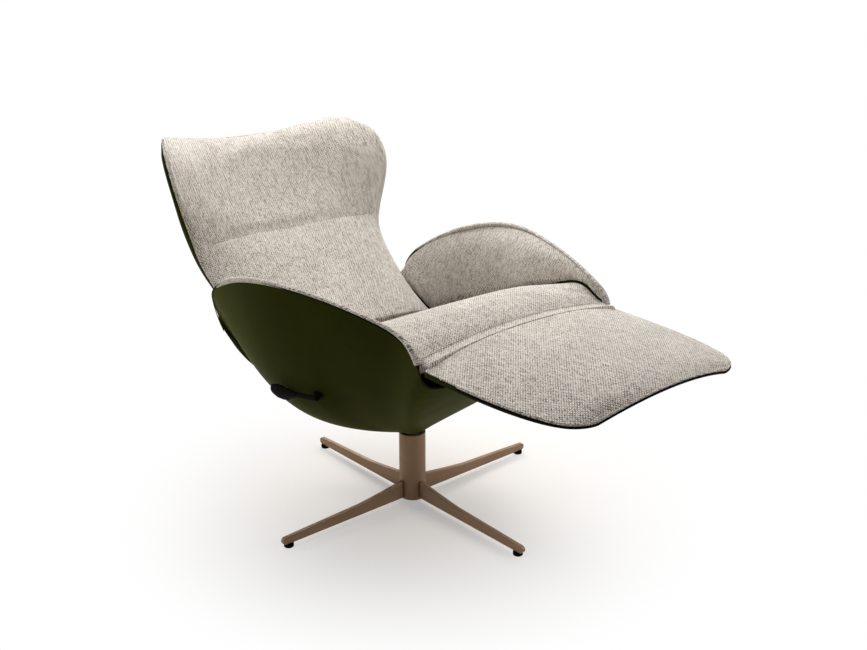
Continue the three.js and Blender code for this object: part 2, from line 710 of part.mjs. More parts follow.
function addSeatFrame() {
  const boardEnds = [[boardFrontY, boardTop(boardFrontY)], [boardRearY, boardTop(boardRearY)]];
  const boardHalf = railInner + railThickness + boardOverhang;
  const board = sidePlate([
    ...boardEnds, ...boardEnds.reverse().map(([y, z]) => [y, z - boardThickness]),
  ], -boardHalf, boardHalf);
  addPiece(seat, "seat_board", closed(board), "board");

  const spindleFoot = stepHeight + washerThickness + 2 * seamGap;
  const flangeTop = plateBottom - seamGap;
  addPiece(seat, "spindle", turned([
    [0, spindleFoot], [spindleRadius, spindleFoot], [spindleRadius, flangeTop - spindleFlangeThickness],
    [spindleFlangeRadius, flangeTop - spindleFlangeThickness], [spindleFlangeRadius, flangeTop], [0, flangeTop],
  ]), "steel");

  const plateHalfWidth = railInner - seamGap;
  const boltAngles = Array.from({ length: plateBolts }, (_, k) => ((k + 0.5) / plateBolts) * 2 * Math.PI);
  const boltPlaces = boltAngles.map((angle) =>
    [plateBoltCircle * Math.cos(angle), plateBoltCircle * Math.sin(angle)]);
  const plateOutline = [
    [plateHalfWidth, plateRear], [-plateHalfWidth, plateRear], [-plateHalfWidth, plateSideFront],
    [-spindleFlangeRadius, plateFront], [spindleFlangeRadius, plateFront], [plateHalfWidth, plateSideFront],
  ];
  const plate = new THREE.ExtrudeGeometry(new THREE.Shape(plateOutline.map(([x, y]) => new THREE.Vector2(x, y))),
    { depth: plateThickness, bevelEnabled: false }).translate(0, 0, plateBottom);
  addPiece(seat, "seat_plate", closed(plate), "steel");
  boltPlaces.forEach(([x, y], k) => {
    const seatZ = plateBottom + plateThickness + seamGap;
    const bolt = turned([[0, seatZ], [plateBoltHead, seatZ], [plateBoltHead, seatZ + plateBoltHeadHeight],
      [plateBoltRadius, seatZ + plateBoltHeadHeight], [0, seatZ + plateBoltHeadHeight]], boltSides).translate(x, y, 0);
    addPiece(seat, "plate_bolt_" + (k + 1), closed(bolt), "steel");
  });

  const neckLow = footHingeZ + footBoss - railNeck;
  const under = (y) => boardTop(y) - boardThickness - seamGap;
  const railOutline = [
    [footHingeY, footHingeZ + footBoss],
    [boardFrontY - boardThickness - footBoss, footHingeZ - footBoss / 2],
    [boardFrontY - boardThickness / 2, under(boardFrontY) + seamGap],
    [boardFrontY - seamGap, under(boardFrontY)],
    [boardRearY, under(boardRearY)],
    [lerp(plateRear, backHingeY, railRearTopShares[0]), lerp(plateBottom, backHingeZ, railRearTopShares[1])],
    [backHingeY - backBoss, backHingeZ - backBoss / 2],
    [backHingeY + backBoss * bossPlateShare, backHingeZ - backBoss / 2],
    [lerp(plateRear, backHingeY, railRearLowShares[0]), lerp(plateBottom, backHingeZ, railRearLowShares[1])],
    [plateRear, plateBottom],
    [plateSideFront, plateBottom],
    [lerp(footHingeY, plateRear, railBellyShares[0]), lerp(plateBottom, neckLow, railBellyShares[1])],
    [lerp(footHingeY, plateRear, railChestShares[0]), lerp(plateBottom, neckLow, railChestShares[1])],
    [boardFrontY, under(boardFrontY) - railThroat],
    [lerp(railNeckRear, boardFrontY, railThroatShares[0]),
      lerp(neckLow, under(boardFrontY) - railThroat, railThroatShares[1])],
    [railNeckRear, neckLow],
    [footHingeY, neckLow],
  ];
  for (const [side, name] of [[1, "left"], [-1, "right"]]) {
    const inner = side * railInner;
    const outer = side * (railInner + railThickness);
    const overrun = side * cutOverrun;
    const body = joined([
      sidePlate(railOutline, inner, outer),
      crossRod(inner, outer, footHingeY, footHingeZ, footBoss),
      crossRod(inner, outer, backHingeY, backHingeZ, backBoss),
    ]);
    const bores = [
      crossRod(inner - overrun, outer + overrun, footHingeY, footHingeZ, pinRadius + pinGap),
      crossRod(inner - overrun, outer + overrun, backHingeY, backHingeZ, pinRadius + pinGap),
    ];
    if (side < 0) bores.push(crossRod(inner - overrun, outer + overrun, cableCrossY, cableCrossZ, cableBore));
    addPiece(seat, "side_rail_" + name, cut(body, bores), "steel");
    const pinFrom = side * (railInner - runningGap - bracketThickness - cutOverrun);
    const pinTo = side * (railInner + railThickness + cutOverrun);
    addPiece(seat, "footrest_pin_" + name, crossRod(pinFrom, pinTo, footHingeY, footHingeZ, pinRadius), "steel");
    addPiece(seat, "back_pin_" + name, crossRod(pinFrom, pinTo, backHingeY, backHingeZ, pinRadius), "steel");
  }
  const tubeHalf = railInner - seamGap;
  const lugInner = springEyeWidth / 2 + runningGap;
  const lugOuter = lugInner + springLugThickness;
  const lug = [
    [crossTubeY - crossTubeRadius / 2, crossTubeZ], [crossTubeY + crossTubeRadius, crossTubeZ],
    [springFrontY + springRodEye, springFrontZ], [springFrontY - springRodEye, springFrontZ],
  ];
  const lugs = [1, -1].flatMap((side) => [
    sidePlate(lug, side * lugInner, side * lugOuter),
    crossRod(side * lugInner, side * lugOuter, springFrontY, springFrontZ, springRodEye),
  ]);
  const tube = joined([crossRod(-tubeHalf, tubeHalf, crossTubeY, crossTubeZ, crossTubeRadius), ...lugs]);
  const pinBore = crossRod(-lugOuter - cutOverrun, lugOuter + cutOverrun, springFrontY, springFrontZ,
    pinRadius + pinGap);
  addPiece(seat, "front_cross_tube", cut(tube, [pinBore]), "steel");
  const springPinHalf = springPinHalfWidth();
  addPiece(seat, "spring_pin", crossRod(-springPinHalf, springPinHalf, springFrontY, springFrontZ, pinRadius), "steel");
}

// The soft strip that closes the gap between the seat's front roll and the footrest.
function addHingeStrip() {
  const front = footRearY + seamGap;
  const rear = seatFrontY - seamGap;
  const rings = steps(stripStations).map((k) => {
    const across = 2 * k - 1;
    const top = footEdgeZ + footCrown - stripSideDrop * across ** 2 - seamGap;
    const low = top - stripHeight;
    const dip = (front + rear) / 2;
    return [[front, low + seamGap], [front, top - seamGap], [dip, top - stripHeight * stripDipShare],
      [rear, top - stripHeight * stripRearShare],
      [rear, low + seamGap], [dip, low]].map(([y, z]) => new THREE.Vector3(across * stripHalfWidth, y, z));
  });
  addPiece(seat, "hinge_strip", bodyThrough(rings), "fabric");
}

// Gas spring between the seat frame and the back's lower rod
const springFrom = new THREE.Vector3(0, springFrontY, springFrontZ);
const springTo = new THREE.Vector3(0, springPinY, springPinZ);
const springLine = springTo.clone().sub(springFrom).normalize();
const springPlace = (distance) => springFrom.clone().addScaledVector(springLine, distance);

function addSpring() {
  const span = springFrom.distanceTo(springTo);
  const tubeRear = span - springNeck;
  const tubeFront = tubeRear - springTubeLength;
  const half = springEyeWidth / 2;
  const rodBody = joined([
    crossRod(-half, half, springFrontY, springFrontZ, springRodEye),
    rod(springPlace(0), springPlace(tubeFront + springRodInside), springRodRadius),
  ]);
  const pinBore = crossRod(-half - cutOverrun, half + cutOverrun, springFrontY, springFrontZ, pinRadius + pinGap);
  addPiece(spring, "gas_spring_rod", cut(rodBody, [pinBore]), "steel");
  const tubeBody = joined([
    rod(springPlace(tubeFront), springPlace(tubeRear), springTubeRadius),
    rod(springPlace(tubeRear - cutOverrun), springPlace(span - springEyeBore), springNeckRadius),
    crossRod(-half, half, springPinY, springPinZ, springEye),
  ]);
  addPiece(spring, "gas_spring_cylinder", cut(tubeBody, [
    rod(springPlace(tubeFront - cutOverrun), springPlace(tubeFront + springBoreDepth), springRodRadius + runningGap / 2),
    crossRod(-half - cutOverrun, half + cutOverrun, springPinY, springPinZ, springEyeBore),
  ]), "black");
}

// Release lever
function addLever() {
  const bushTop = leverBushGap + leverCollarThickness;
  const pin = (from, to, radius) => rod(leverPlace(0, 0, from), leverPlace(0, 0, to), radius, finerSides);
  addPiece(seat, "lever_bush", cut(
    joined([pin(bushTop, leverBushGap, leverCollar), pin(bushTop, bushTop - leverBushLength, leverShaftBore - seamGap)]),
    [pin(bushTop + cutOverrun, bushTop - leverBushLength - cutOverrun, leverShaftRadius + seamGap)]), "black");

  const halfHead = leverHeadLength / 2;
  const sections = [
    ...leverNeckShares.map(([along, tall, thick]) =>
      [along * leverNeckHeight, tall * leverNeckHeight, thick * leverThickness]),
    ...leverHeadShares.map(([along, tall, thick]) =>
      [leverReach + along * halfHead, tall * leverHeadHeight, thick * leverThickness]),
  ];
  const blade = bodyThrough(sections.map(([along, tall, thick]) => circle(leverSides).map((angle) =>
    leverPlace(along, Math.sin(angle) * tall, leverStandoff + Math.cos(angle) * thick))));
  const camTop = bushTop - leverBushLength - runningGap;
  const camLow = camTop - camThickness;
  const camTip = leverPlace(0, camReach, 0).sub(leverRoot);
  const cam = rod(leverPlace(0, 0, camTop), leverPlace(0, 0, camLow), leverShaftRadius + cableRadius);
  const camEnd = rod(leverPlace(0, 0, camTop).add(camTip), leverPlace(0, 0, camLow).add(camTip), camEndRadius);
  const camArm = bodyThrough([camTop, camLow].map((out) => [
    leverPlace(-leverShaftRadius, 0, out), leverPlace(leverShaftRadius, 0, out),
    leverPlace(camArmHalf, camReach, out), leverPlace(-camArmHalf, camReach, out),
  ]));
  const shaft = rod(leverPlace(0, 0, leverStandoff), leverPlace(0, 0, camLow), leverShaftRadius);
  const shoulder = rod(leverPlace(0, 0, leverStandoff), leverPlace(0, 0, bushTop + seamGap), leverNeckHeight / 2);
  addPiece(lever, "release_lever", joined([blade, shaft, shoulder, cam, camEnd, camArm]), "black");

  const cableFrom = leverPlace(0, camReach, camLow - seamGap - cableRadius);
  const cableTo = new THREE.Vector3(-springPinHalfWidth() - seamGap, springFrontY, springFrontZ);
  const crossing = new THREE.Vector3(-railInner - railThickness / 2, cableCrossY, cableCrossZ);
  const route = new THREE.CatmullRomCurve3([
    cableFrom,
    crossing.clone().add(new THREE.Vector3(-cableStraight, 0, 0)),
    crossing.clone().add(new THREE.Vector3(cableStraight, 0, 0)),
    cableTo.clone().lerp(crossing, cableBendShare).setY(springFrontY),
    cableTo,
  ], false, "centripetal");
  const section = new THREE.Shape(circle(cableSides).map((angle) =>
    new THREE.Vector2(Math.cos(angle) * cableRadius, Math.sin(angle) * cableRadius)));
  const cable = new THREE.ExtrudeGeometry(section, { steps: cableSteps, extrudePath: route });
  addPiece(seat, "release_cable", closed(cable), "black");
}

// Back
const backAt = (width, [along, up]) =>
  new THREE.Vector3(width * backHalfWidth, lerp(backFootY, backReach, along), lerp(backFootZ, backTop, up));
const backRows = backRowShares.map((row) => ({
  middle: backAt(0, row.middle),
  edge: backAt(row.width, row.edge),
}));
const backMiddle = new THREE.CatmullRomCurve3(backRows.map((row) => row.middle), false, "centripetal");
const backEdge = new THREE.CatmullRomCurve3(backRows.map((row) => row.edge), false, "centripetal");

// The plane between the back board and the cushion, by shares up the back and across it.
function backPlace(up, across) {
  const middle = backMiddle.getPoint(up);
  const edge = backEdge.getPoint(up);
  const curl = Math.abs(across) ** backWingPower;
  return new THREE.Vector3(across * edge.x, lerp(middle.y, edge.y, curl), lerp(middle.z, edge.z, curl));
}

// The same place moved towards the sitter, square to that plane.
function backLayer(up, across, forward) {
  const small = 0.002;
  const rise = backPlace(Math.min(1, up + small), across).sub(backPlace(Math.max(0, up - small), across));
  const side = backPlace(up, across + small).sub(backPlace(up, across - small));
  const normal = side.cross(rise).normalize();
  return backPlace(up, across).addScaledVector(normal, forward);
}

function backHollowAt(up, across) {
  const depth = lerp(backHollow, backHeadHollow, smoothstep(up, ...backHollowShares));
  return seamGap + depth * dome(across, backHollowPower) * Math.min(1, (1 - up) / backHollowEndShare);
}

function backCushionAt(up, across) {
  const depth = lerp(backCushionLow, backCushionHead, smoothstep(up, ...backCushionShares));
  const lowEnd = dome(1 - Math.min(1, up / backCushionEndShare), 2);
  const highEnd = Math.sin(Math.min(1, (1 - up) / backCushionEndShare) * Math.PI / 2);
  const sides = (1 - Math.abs(across) ** backCrownPowers[0]) ** backCrownPowers[1];
  const crown = sides * highEnd * lerp(backCushionFootShare, 1, lowEnd);
  return backCushionEdge + (depth - backCushionEdge) * crown;
}

function addBack() {
  const acrosses = spread(backColumns);
  const sheet = (rows, layer) => rows.map((up) => acrosses.map((across) => layer(up, across)));
  const shellReach = (up) => lerp(backShellFootShare, 1, smoothstep(up, 0, seamMiddleShare));
  const shellRows = steps(backSheetRows).map((k) => lerp(backShellLowShare, 1, k));
  addPiece(back, "back_shell", bodyBetween(
    sheet(shellRows, (up, across) => backLayer(up, across * shellReach(up), -backHollowAt(up, across))),
    sheet(shellRows, (up, across) =>
      backLayer(up, across * shellReach(up), -backHollowAt(up, across) - backShellWall)),
    false), "leather");

  const seamRow = backCushionRowShares.indexOf(seamMiddleShare);
  const rowAt = (up, across) => {
    const bend = up < seamMiddleShare ? up / seamMiddleShare : (1 - up) / (1 - seamMiddleShare);
    return up + seamSideRiseShare * across ** 2 * bend;
  };
  const front = backCushionRowShares.map((share, row) => acrosses.map((across) => {
    const up = rowAt(share, across);
    const sunk = row === seamRow ? seamDepth * dome(across, seamEndPower) : 0;
    return backLayer(up, across, backCushionAt(up, across) - sunk);
  }));
  const rear = backCushionRowShares.map((share) => acrosses.map((across) =>
    backLayer(rowAt(share, across), across, seamGap)));
  addPiece(back, "back_cushion", bodyBetween(front, rear, false), "fabric");

  const boardRows = steps(backBoardRows).map((k) => lerp(backBoardLowShare, backBoardHighShare, k));
  const boardLayer = (forward) => boardRows.map((up) => steps(backBoardColumns).map((k) => {
    const across = (2 * k - 1) * backBoardShare * backHalfWidth / backEdge.getPoint(up).x;
    return backLayer(up, across, forward);
  }));
  addPiece(back, "back_board", bodyBetween(boardLayer(-backBoardGap), boardLayer(-backBoardGap - backBoardThickness), false),
    "board");

  const bandNear = backBoardGap + backBoardThickness + bracketClearance;
  const bandRows = steps(bracketRows).map((k) => lerp(bracketLowShare, bracketHighShare, k));
  const acrossAt = (up) => railInner / backEdge.getPoint(up).x;
  const band = (depth) => bandRows.map((up) => {
    const place = backLayer(up, acrossAt(up), -depth);
    return [place.y, place.z];
  });
  const upper = [...band(bandNear), ...band(bandNear + bracketBand).reverse()];
  const lower = [
    [backHingeY - backBoss * bossPlateShare, backHingeZ], [backHingeY + backBoss * bossPlateShare, backHingeZ],
    [springPinY + backRodBoss, springPinZ], [springPinY - backRodBoss, springPinZ],
  ];
  const neck = [[backHingeY - backBoss, backHingeZ], upper[1], upper[upper.length - 2],
    [backHingeY + backBoss, backHingeZ]];
  for (const [side, name] of [[1, "left"], [-1, "right"]]) {
    const outer = side * (railInner - runningGap);
    const inner = outer - side * bracketThickness;
    const overrun = side * cutOverrun;
    const body = joined([
      sidePlate(upper, inner, outer), sidePlate(neck, inner, outer), sidePlate(lower, inner, outer),
      crossRod(inner, outer, backHingeY, backHingeZ, backBoss),
      crossRod(inner, outer, springPinY, springPinZ, backRodBoss),
    ]);
    const bore = crossRod(inner - overrun, outer + overrun, backHingeY, backHingeZ, pinRadius + pinGap);
    addPiece(back, "back_bracket_" + name, cut(body, [bore]), "steel");
  }
  const rodHalf = railInner - runningGap - bracketThickness - seamGap;
  addPiece(back, "back_cross_rod", crossRod(-rodHalf, rodHalf, springPinY, springPinZ, backRodRadius), "steel");
}

// Footrest
function footHalfWidthAt(y) {
  const along = (footRearY - y) / (footRearY - footFrontY);
  const left = clamp(y - footFrontY, 0, footCorner);
  const corner = footCorner - Math.sqrt(footCorner ** 2 - (footCorner - left) ** 2);
  return lerp(footHalfWidth, footFrontHalfWidth, along ** footTaperPower) - corner;
}

// The pad's edge, by shares towards the front and across.
function footPlace(along, across, height) {
  const y = lerp(footRearY, footFrontY, along);
  const bow = footFrontBow * (1 - across ** 2) * along ** footBowPower;
  const z = footEdgeZ + along * (footRise - footArch * across ** 2);
  return new THREE.Vector3(across * footHalfWidthAt(y), y - bow, z + height);
}

function addFootrest() {
  const alongs = steps(footRows).map((k) => Math.sin(k * Math.PI / 2));
  const acrosses = spread(footColumns);
  const sheet = (height) => alongs.map((along) => acrosses.map((across) =>
    footPlace(along, across, height(along, across))));
  const crown = (along, across) => footCrown * (1 - Math.abs(across) ** footCrownPower)
    * dome(along, footCrownEndPower) * lerp(1, footCrownFrontShare, along);
  addPiece(footrest, "footrest_pad", bodyBetween(
    sheet(crown), sheet(() => -footPadEdge), false), "fabric");
  const belly = (along, across) => footShellDepth * (1 - across ** footShellPower) * (1 - along ** footShellPower);
  const hem = (along, across) => footShellWall + footShellHem * across ** footHemPowers[0] * (1 - along ** footHemPowers[1]);
  const shellTop = -footPadEdge - seamGap;
  addPiece(footrest, "footrest_shell", bodyBetween(
    sheet((along, across) => shellTop - belly(along, across)),
    sheet((along, across) => shellTop - belly(along, across) - hem(along, across)), false), "leather");
  const low = footHingeZ - footArmHeight / 2;
  const high = footHingeZ + footArmHeight / 2;
  const tip = footHingeY - footArmReach;
  const outline = [[footHingeY, high], [tip, high], [tip - footArmHeight / 2, footHingeZ], [tip, low + footBoss / 2],
    [footHingeY, low]];
  for (const [side, name] of [[1, "left"], [-1, "right"]]) {
    const outer = side * (railInner - runningGap);
    const inner = outer - side * bracketThickness;
    const overrun = side * cutOverrun;
    const body = joined([sidePlate(outline, inner, outer), crossRod(inner, outer, footHingeY, footHingeZ, footBoss)]);
    const bore = crossRod(inner - overrun, outer + overrun, footHingeY, footHingeZ, pinRadius + pinGap);
    addPiece(footrest, "footrest_arm_" + name, cut(body, [bore]), "steel");
  }
}

addBase();
addBucket();
addArmPads();
addSeatCushion();
addSeatFrame();
addHingeStrip();
addSpring();
addLever();
addBack();
addFootrest();

export default chair;
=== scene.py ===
import json
import math

import bmesh
import bpy
import numpy as np
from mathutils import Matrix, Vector
from mathutils.bvhtree import BVHTree


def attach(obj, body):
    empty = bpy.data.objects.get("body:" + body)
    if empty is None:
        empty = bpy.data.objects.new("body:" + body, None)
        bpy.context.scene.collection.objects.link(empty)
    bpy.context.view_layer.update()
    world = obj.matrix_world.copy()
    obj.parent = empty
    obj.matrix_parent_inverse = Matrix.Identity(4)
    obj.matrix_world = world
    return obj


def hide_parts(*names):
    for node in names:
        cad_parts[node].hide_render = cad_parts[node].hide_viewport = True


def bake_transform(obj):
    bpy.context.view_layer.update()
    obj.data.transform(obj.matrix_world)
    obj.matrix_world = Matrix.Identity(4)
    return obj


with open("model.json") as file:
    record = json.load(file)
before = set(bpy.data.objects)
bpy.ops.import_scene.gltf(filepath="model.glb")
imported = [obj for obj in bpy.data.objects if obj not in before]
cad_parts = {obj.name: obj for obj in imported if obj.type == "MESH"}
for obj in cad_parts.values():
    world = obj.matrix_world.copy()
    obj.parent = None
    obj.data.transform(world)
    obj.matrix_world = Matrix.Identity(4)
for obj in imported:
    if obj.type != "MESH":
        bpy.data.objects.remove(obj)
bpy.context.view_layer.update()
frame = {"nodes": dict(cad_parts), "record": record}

scene = bpy.context.scene
mm = 0.001
print("recliner: frame loaded")

# Camera and studio
cameraSettings = {
    "place": (-1.525, -1.829, 1.2686),
    "looksAlong": (0.6191, 0.7118, -0.3318),
    "lens": 46.48,
    "sensor": 36,
    "seesTo": 100,  # metres
}

studioSettings = {
    "floorSize": 14.0,
    "floorColour": (0.76, 0.695, 0.64, 1),
    "whiteFrom": 0.10,  # metres from the swivel axis where the floor starts to turn white
    "whiteTo": 0.72,
    "whiteLeast": 0.36,  # share of white under the chair, where its shadow lies
    "worldStrength": 0.05,
    "lamps": [
        # name, place, looks at, size, power, colour
        ("topLamp", (0.45, 0.3, 1.7), (0, -0.2, 0.5), 1.0, 16.5, (1, 0.99, 0.975)),
        ("crestLamp", (1.1, 1.8, 1.9), (0, -0.15, 0.5), 1.1, 56, (1, 0.99, 0.975)),
        ("farLamp", (1.9, 0.7, 1.5), (0.1, -0.1, 0.5), 1.0, 13, (1, 0.99, 0.975)),
        ("frontFarLamp", (1.9, -2.3, 1.9), (0.1, -0.3, 0.5), 1.6, 47, (1, 0.99, 0.975)),
        ("leftLamp", (-1.5, 0.5, 2.3), (0, -0.1, 0.5), 1.0, 17, (1, 0.98, 0.95)),
        ("edgeLamp", (-1.9, 1.7, 0.9), (-0.25, 0.2, 0.45), 0.8, 13, (1, 0.99, 0.93)),
        ("nearLamp", (-2.7, -0.6, 0.9), (0, 0, 0.3), 1.2, 9, (1, 0.98, 0.95)),
    ],
}


def addCamera(settings):
    data = bpy.data.cameras.new("photoCamera")
    data.lens = settings["lens"]
    data.sensor_width = settings["sensor"]
    data.clip_end = settings["seesTo"]
    camera = bpy.data.objects.new("photoCamera", data)
    camera.location = settings["place"]
    camera.rotation_mode = "QUATERNION"
    camera.rotation_quaternion = Vector(settings["looksAlong"]).to_track_quat("-Z", "Y")
    scene.collection.objects.link(camera)
    scene.camera = camera


def addLamps(settings):
    for name, place, target, size, power, colour in settings["lamps"]:
        data = bpy.data.lights.new(name, "AREA")
        data.shape = "DISK"
        data.size = size
        data.energy = power
        data.color = colour
        lamp = bpy.data.objects.new(name, data)
        lamp.location = place
        lamp.rotation_mode = "QUATERNION"
        lamp.rotation_quaternion = (Vector(target) - Vector(place)).to_track_quat("-Z", "Y")
        scene.collection.objects.link(lamp)


class Nodes:  # short ways to add and join shader nodes
    def __init__(self, tree):
        self.tree = tree

    def add(self, kind, inputs=None, **settings):
        node = self.tree.nodes.new(kind)
        for key, value in settings.items():
            setattr(node, key, value)
        for key, value in (inputs or {}).items():
            self.put(node.inputs[key], value)
        return node

    def put(self, socket, value):
        if isinstance(value, bpy.types.NodeSocket):
            self.tree.links.new(value, socket)
        else:
            socket.default_value = value

    def math(self, operation, first, second=None):
        inputs = {0: first} if second is None else {0: first, 1: second}
        return self.add("ShaderNodeMath", inputs, operation=operation).outputs[0]

    def vector(self, operation, first, second=None):
        inputs = {0: first} if second is None else {0: first, 1: second}
        return self.add("ShaderNodeVectorMath", inputs, operation=operation).outputs

    def scaled(self, value, factor):
        node = self.add("ShaderNodeVectorMath", {0: value}, operation="SCALE")
        self.put(node.inputs["Scale"], factor)
        return node.outputs[0]

    def noise(self, place, scale, detail, **inputs):
        inputs = {"Vector": place, "Scale": scale, "Detail": detail, **inputs}
        return self.add("ShaderNodeTexNoise", inputs).outputs

    def bump(self, height, distance, strength):
        inputs = {"Height": height, "Distance": distance, "Strength": strength}
        return self.add("ShaderNodeBump", inputs).outputs[0]

    def between(self, value, low, high, toLow=0.0, toHigh=1.0, smooth=True):
        limits = {0: value, 1: low, 2: high, 3: toLow, 4: toHigh}
        node = self.add("ShaderNodeMapRange", limits)
        node.interpolation_type = "SMOOTHSTEP" if smooth else "LINEAR"
        return node.outputs[0]

    def mix(self, share, a, b):
        return self.add("ShaderNodeMix", {0: share, 6: a, 7: b}, data_type="RGBA").outputs[2]


def emptyMaterial(name):
    material = bpy.data.materials.new(name)
    material.use_nodes = True
    material.node_tree.nodes.clear()
    return material, Nodes(material.node_tree)


def newMaterial(name):
    material, nodes = emptyMaterial(name)
    shader = nodes.add("ShaderNodeBsdfPrincipled")
    nodes.add("ShaderNodeOutputMaterial", {"Surface": shader.outputs[0]})
    return material, nodes, shader


def addFloor(settings):
    form = bmesh.new()
    bmesh.ops.create_grid(form, x_segments=4, y_segments=4, size=settings["floorSize"] / 2)
    mesh = bpy.data.meshes.new("studioFloor")
    form.to_mesh(mesh)
    form.free()
    floor = bpy.data.objects.new("studioFloor", mesh)
    scene.collection.objects.link(floor)
    material, nodes = emptyMaterial("studioFloor")
    place = nodes.add("ShaderNodeTexCoord").outputs["Object"]
    away = nodes.vector("LENGTH", place)["Value"]
    white = nodes.between(away, settings["whiteFrom"], settings["whiteTo"],
                          settings["whiteLeast"], 1)
    paper = nodes.add("ShaderNodeBsdfDiffuse", {"Color": settings["floorColour"]})
    glow = nodes.add("ShaderNodeEmission", {"Color": (1, 1, 1, 1), "Strength": 1})
    path = nodes.add("ShaderNodeLightPath")
    seen = nodes.math("MAXIMUM", path.outputs["Is Camera Ray"], path.outputs["Is Glossy Ray"])
    share = nodes.math("MULTIPLY", white, seen)
    both = nodes.add("ShaderNodeMixShader", {0: share, 1: paper.outputs[0], 2: glow.outputs[0]})
    nodes.add("ShaderNodeOutputMaterial", {"Surface": both.outputs[0]})
    mesh.materials.append(material)


def addWorld(settings):
    world = bpy.data.worlds.new("studioWorld")
    scene.world = world
    world.use_nodes = True
    world.node_tree.nodes.clear()
    nodes = Nodes(world.node_tree)
    path = nodes.add("ShaderNodeLightPath")
    seen = nodes.math("MAXIMUM", path.outputs["Is Camera Ray"], path.outputs["Is Transmission Ray"])
    strength = nodes.between(seen, 0, 1, settings["worldStrength"], 1, smooth=False)
    back = nodes.add("ShaderNodeBackground", {"Color": (1, 1, 1, 1), "Strength": strength})
    nodes.add("ShaderNodeOutputWorld", {"Surface": back.outputs[0]})


scene.view_settings.view_transform = "Standard"
addCamera(cameraSettings)
addLamps(studioSettings)
addFloor(studioSettings)
addWorld(studioSettings)
print("recliner: studio ready")

# Finishes
tweed = {
    "yarn": 3.1 * mm,  # width of one yarn
    "stray": 0.9,  # how far a yarn strays from its line, in its own widths
    "strayScale": 110,
    "light": (0.79, 0.74, 0.675, 1),
    "middle": (0.395, 0.35, 0.30, 1),
    "dark": (0.04, 0.03, 0.022, 1),
    "lightAt": 0.78,
    "middleAt": 0.40,
    "darkAt": 0.16,
    "directionTone": 0.32,  # shares of the tone: the yarn's direction, the yarn itself,
    "yarnTone": 0.16,
    "crossTone": 0.26,  # the single crossing, and thicker and thinner stretches
    "slubTone": 0.32,
    "yarnLength": 4,  # crossings over which a yarn keeps its tone
    "yarnSeed": 3.1,
    "crossSeed": 7.7,
    "paintedGapShade": 0.52,  # painted shade: brightness low between the yarns
    "patchScale": 14,
    "patchShade": (0.95, 1.04),
    "bump": 0.9 * mm,
    "bumpShare": 0.8,
    "rough": 0.92,
    "shine": 0.2,
    "sheen": 0.25,
    "sheenRough": 0.5,
}


def toneAt(nodes, column, row, seed):  # the same chance tone all over one cell of the weave
    cell = nodes.add("ShaderNodeCombineXYZ", {0: column, 1: row, 2: seed}).outputs[0]
    return nodes.add("ShaderNodeTexWhiteNoise", {"Vector": cell},
                     noise_dimensions="3D").outputs["Value"]


def tweedMaterial(settings):
    material, nodes, shader = newMaterial("beigeTweed")
    cloth = nodes.add("ShaderNodeUVMap", uv_map="cloth").outputs[0]
    wobble = nodes.noise(cloth, settings["strayScale"], 2)["Color"]
    stray = nodes.scaled(nodes.vector("SUBTRACT", wobble, (0.5, 0.5, 0.5))[0],
                         settings["yarn"] * settings["stray"])
    weave = nodes.scaled(nodes.vector("ADD", cloth, stray)[0], 1 / settings["yarn"])
    split = nodes.add("ShaderNodeSeparateXYZ", {0: weave})
    across, along = split.outputs[0], split.outputs[1]
    column, row = nodes.math("FLOOR", across), nodes.math("FLOOR", along)
    parity = nodes.math("MODULO", nodes.math("ABSOLUTE", nodes.math("ADD", column, row)), 2)
    isWarp = nodes.math("GREATER_THAN", parity, 0.5)
    # Each yarn keeps some of its own tone, and each crossing has a tone as well.
    stretch = nodes.math("FLOOR", nodes.math("DIVIDE", row, settings["yarnLength"]))
    slub = nodes.noise(weave, 1.6, 3, Roughness=0.7)[0]
    tone = nodes.math("MULTIPLY", isWarp, settings["directionTone"])
    for part, weight in ((toneAt(nodes, column, stretch, settings["yarnSeed"]), "yarnTone"),
                         (toneAt(nodes, column, row, settings["crossSeed"]), "crossTone"),
                         (slub, "slubTone")):
        tone = nodes.math("ADD", tone, nodes.math("MULTIPLY", part, settings[weight]))
    ramp = nodes.add("ShaderNodeValToRGB", {0: tone})
    ramp.color_ramp.elements[0].position = settings["darkAt"]
    ramp.color_ramp.elements[0].color = settings["dark"]
    ramp.color_ramp.elements[1].position = settings["lightAt"]
    ramp.color_ramp.elements[1].color = settings["light"]
    ramp.color_ramp.elements.new(settings["middleAt"]).color = settings["middle"]
    # Each crossing is a small hump, and the gaps between yarns lie low, darkened with painted
    # shade.
    humps = [nodes.math("SINE", nodes.math("MULTIPLY", nodes.math("FRACT", way), math.pi))
             for way in (across, along)]
    height = nodes.math("POWER", nodes.math("MULTIPLY", *humps), 0.6)
    shade = nodes.between(height, 0, 0.6, settings["paintedGapShade"], 1.0)
    wide = nodes.noise(cloth, settings["patchScale"], 4)[0]
    shade = nodes.math("MULTIPLY", shade, nodes.between(wide, 0.3, 0.7, *settings["patchShade"]))
    fuzz = nodes.noise(weave, 3, 3)[0]
    relief = nodes.math("ADD", height, nodes.math("MULTIPLY", fuzz, 0.5))
    # The base colour carries the painted shade of the gaps, and the random patches.
    nodes.put(shader.inputs["Base Color"], nodes.scaled(ramp.outputs[0], shade))
    nodes.put(shader.inputs["Normal"],
              nodes.bump(relief, settings["bump"], settings["bumpShare"]))
    shader.inputs["Roughness"].default_value = settings["rough"]
    shader.inputs["Specular IOR Level"].default_value = settings["shine"]
    shader.inputs["Sheen Weight"].default_value = settings["sheen"]
    shader.inputs["Sheen Roughness"].default_value = settings["sheenRough"]
    return material


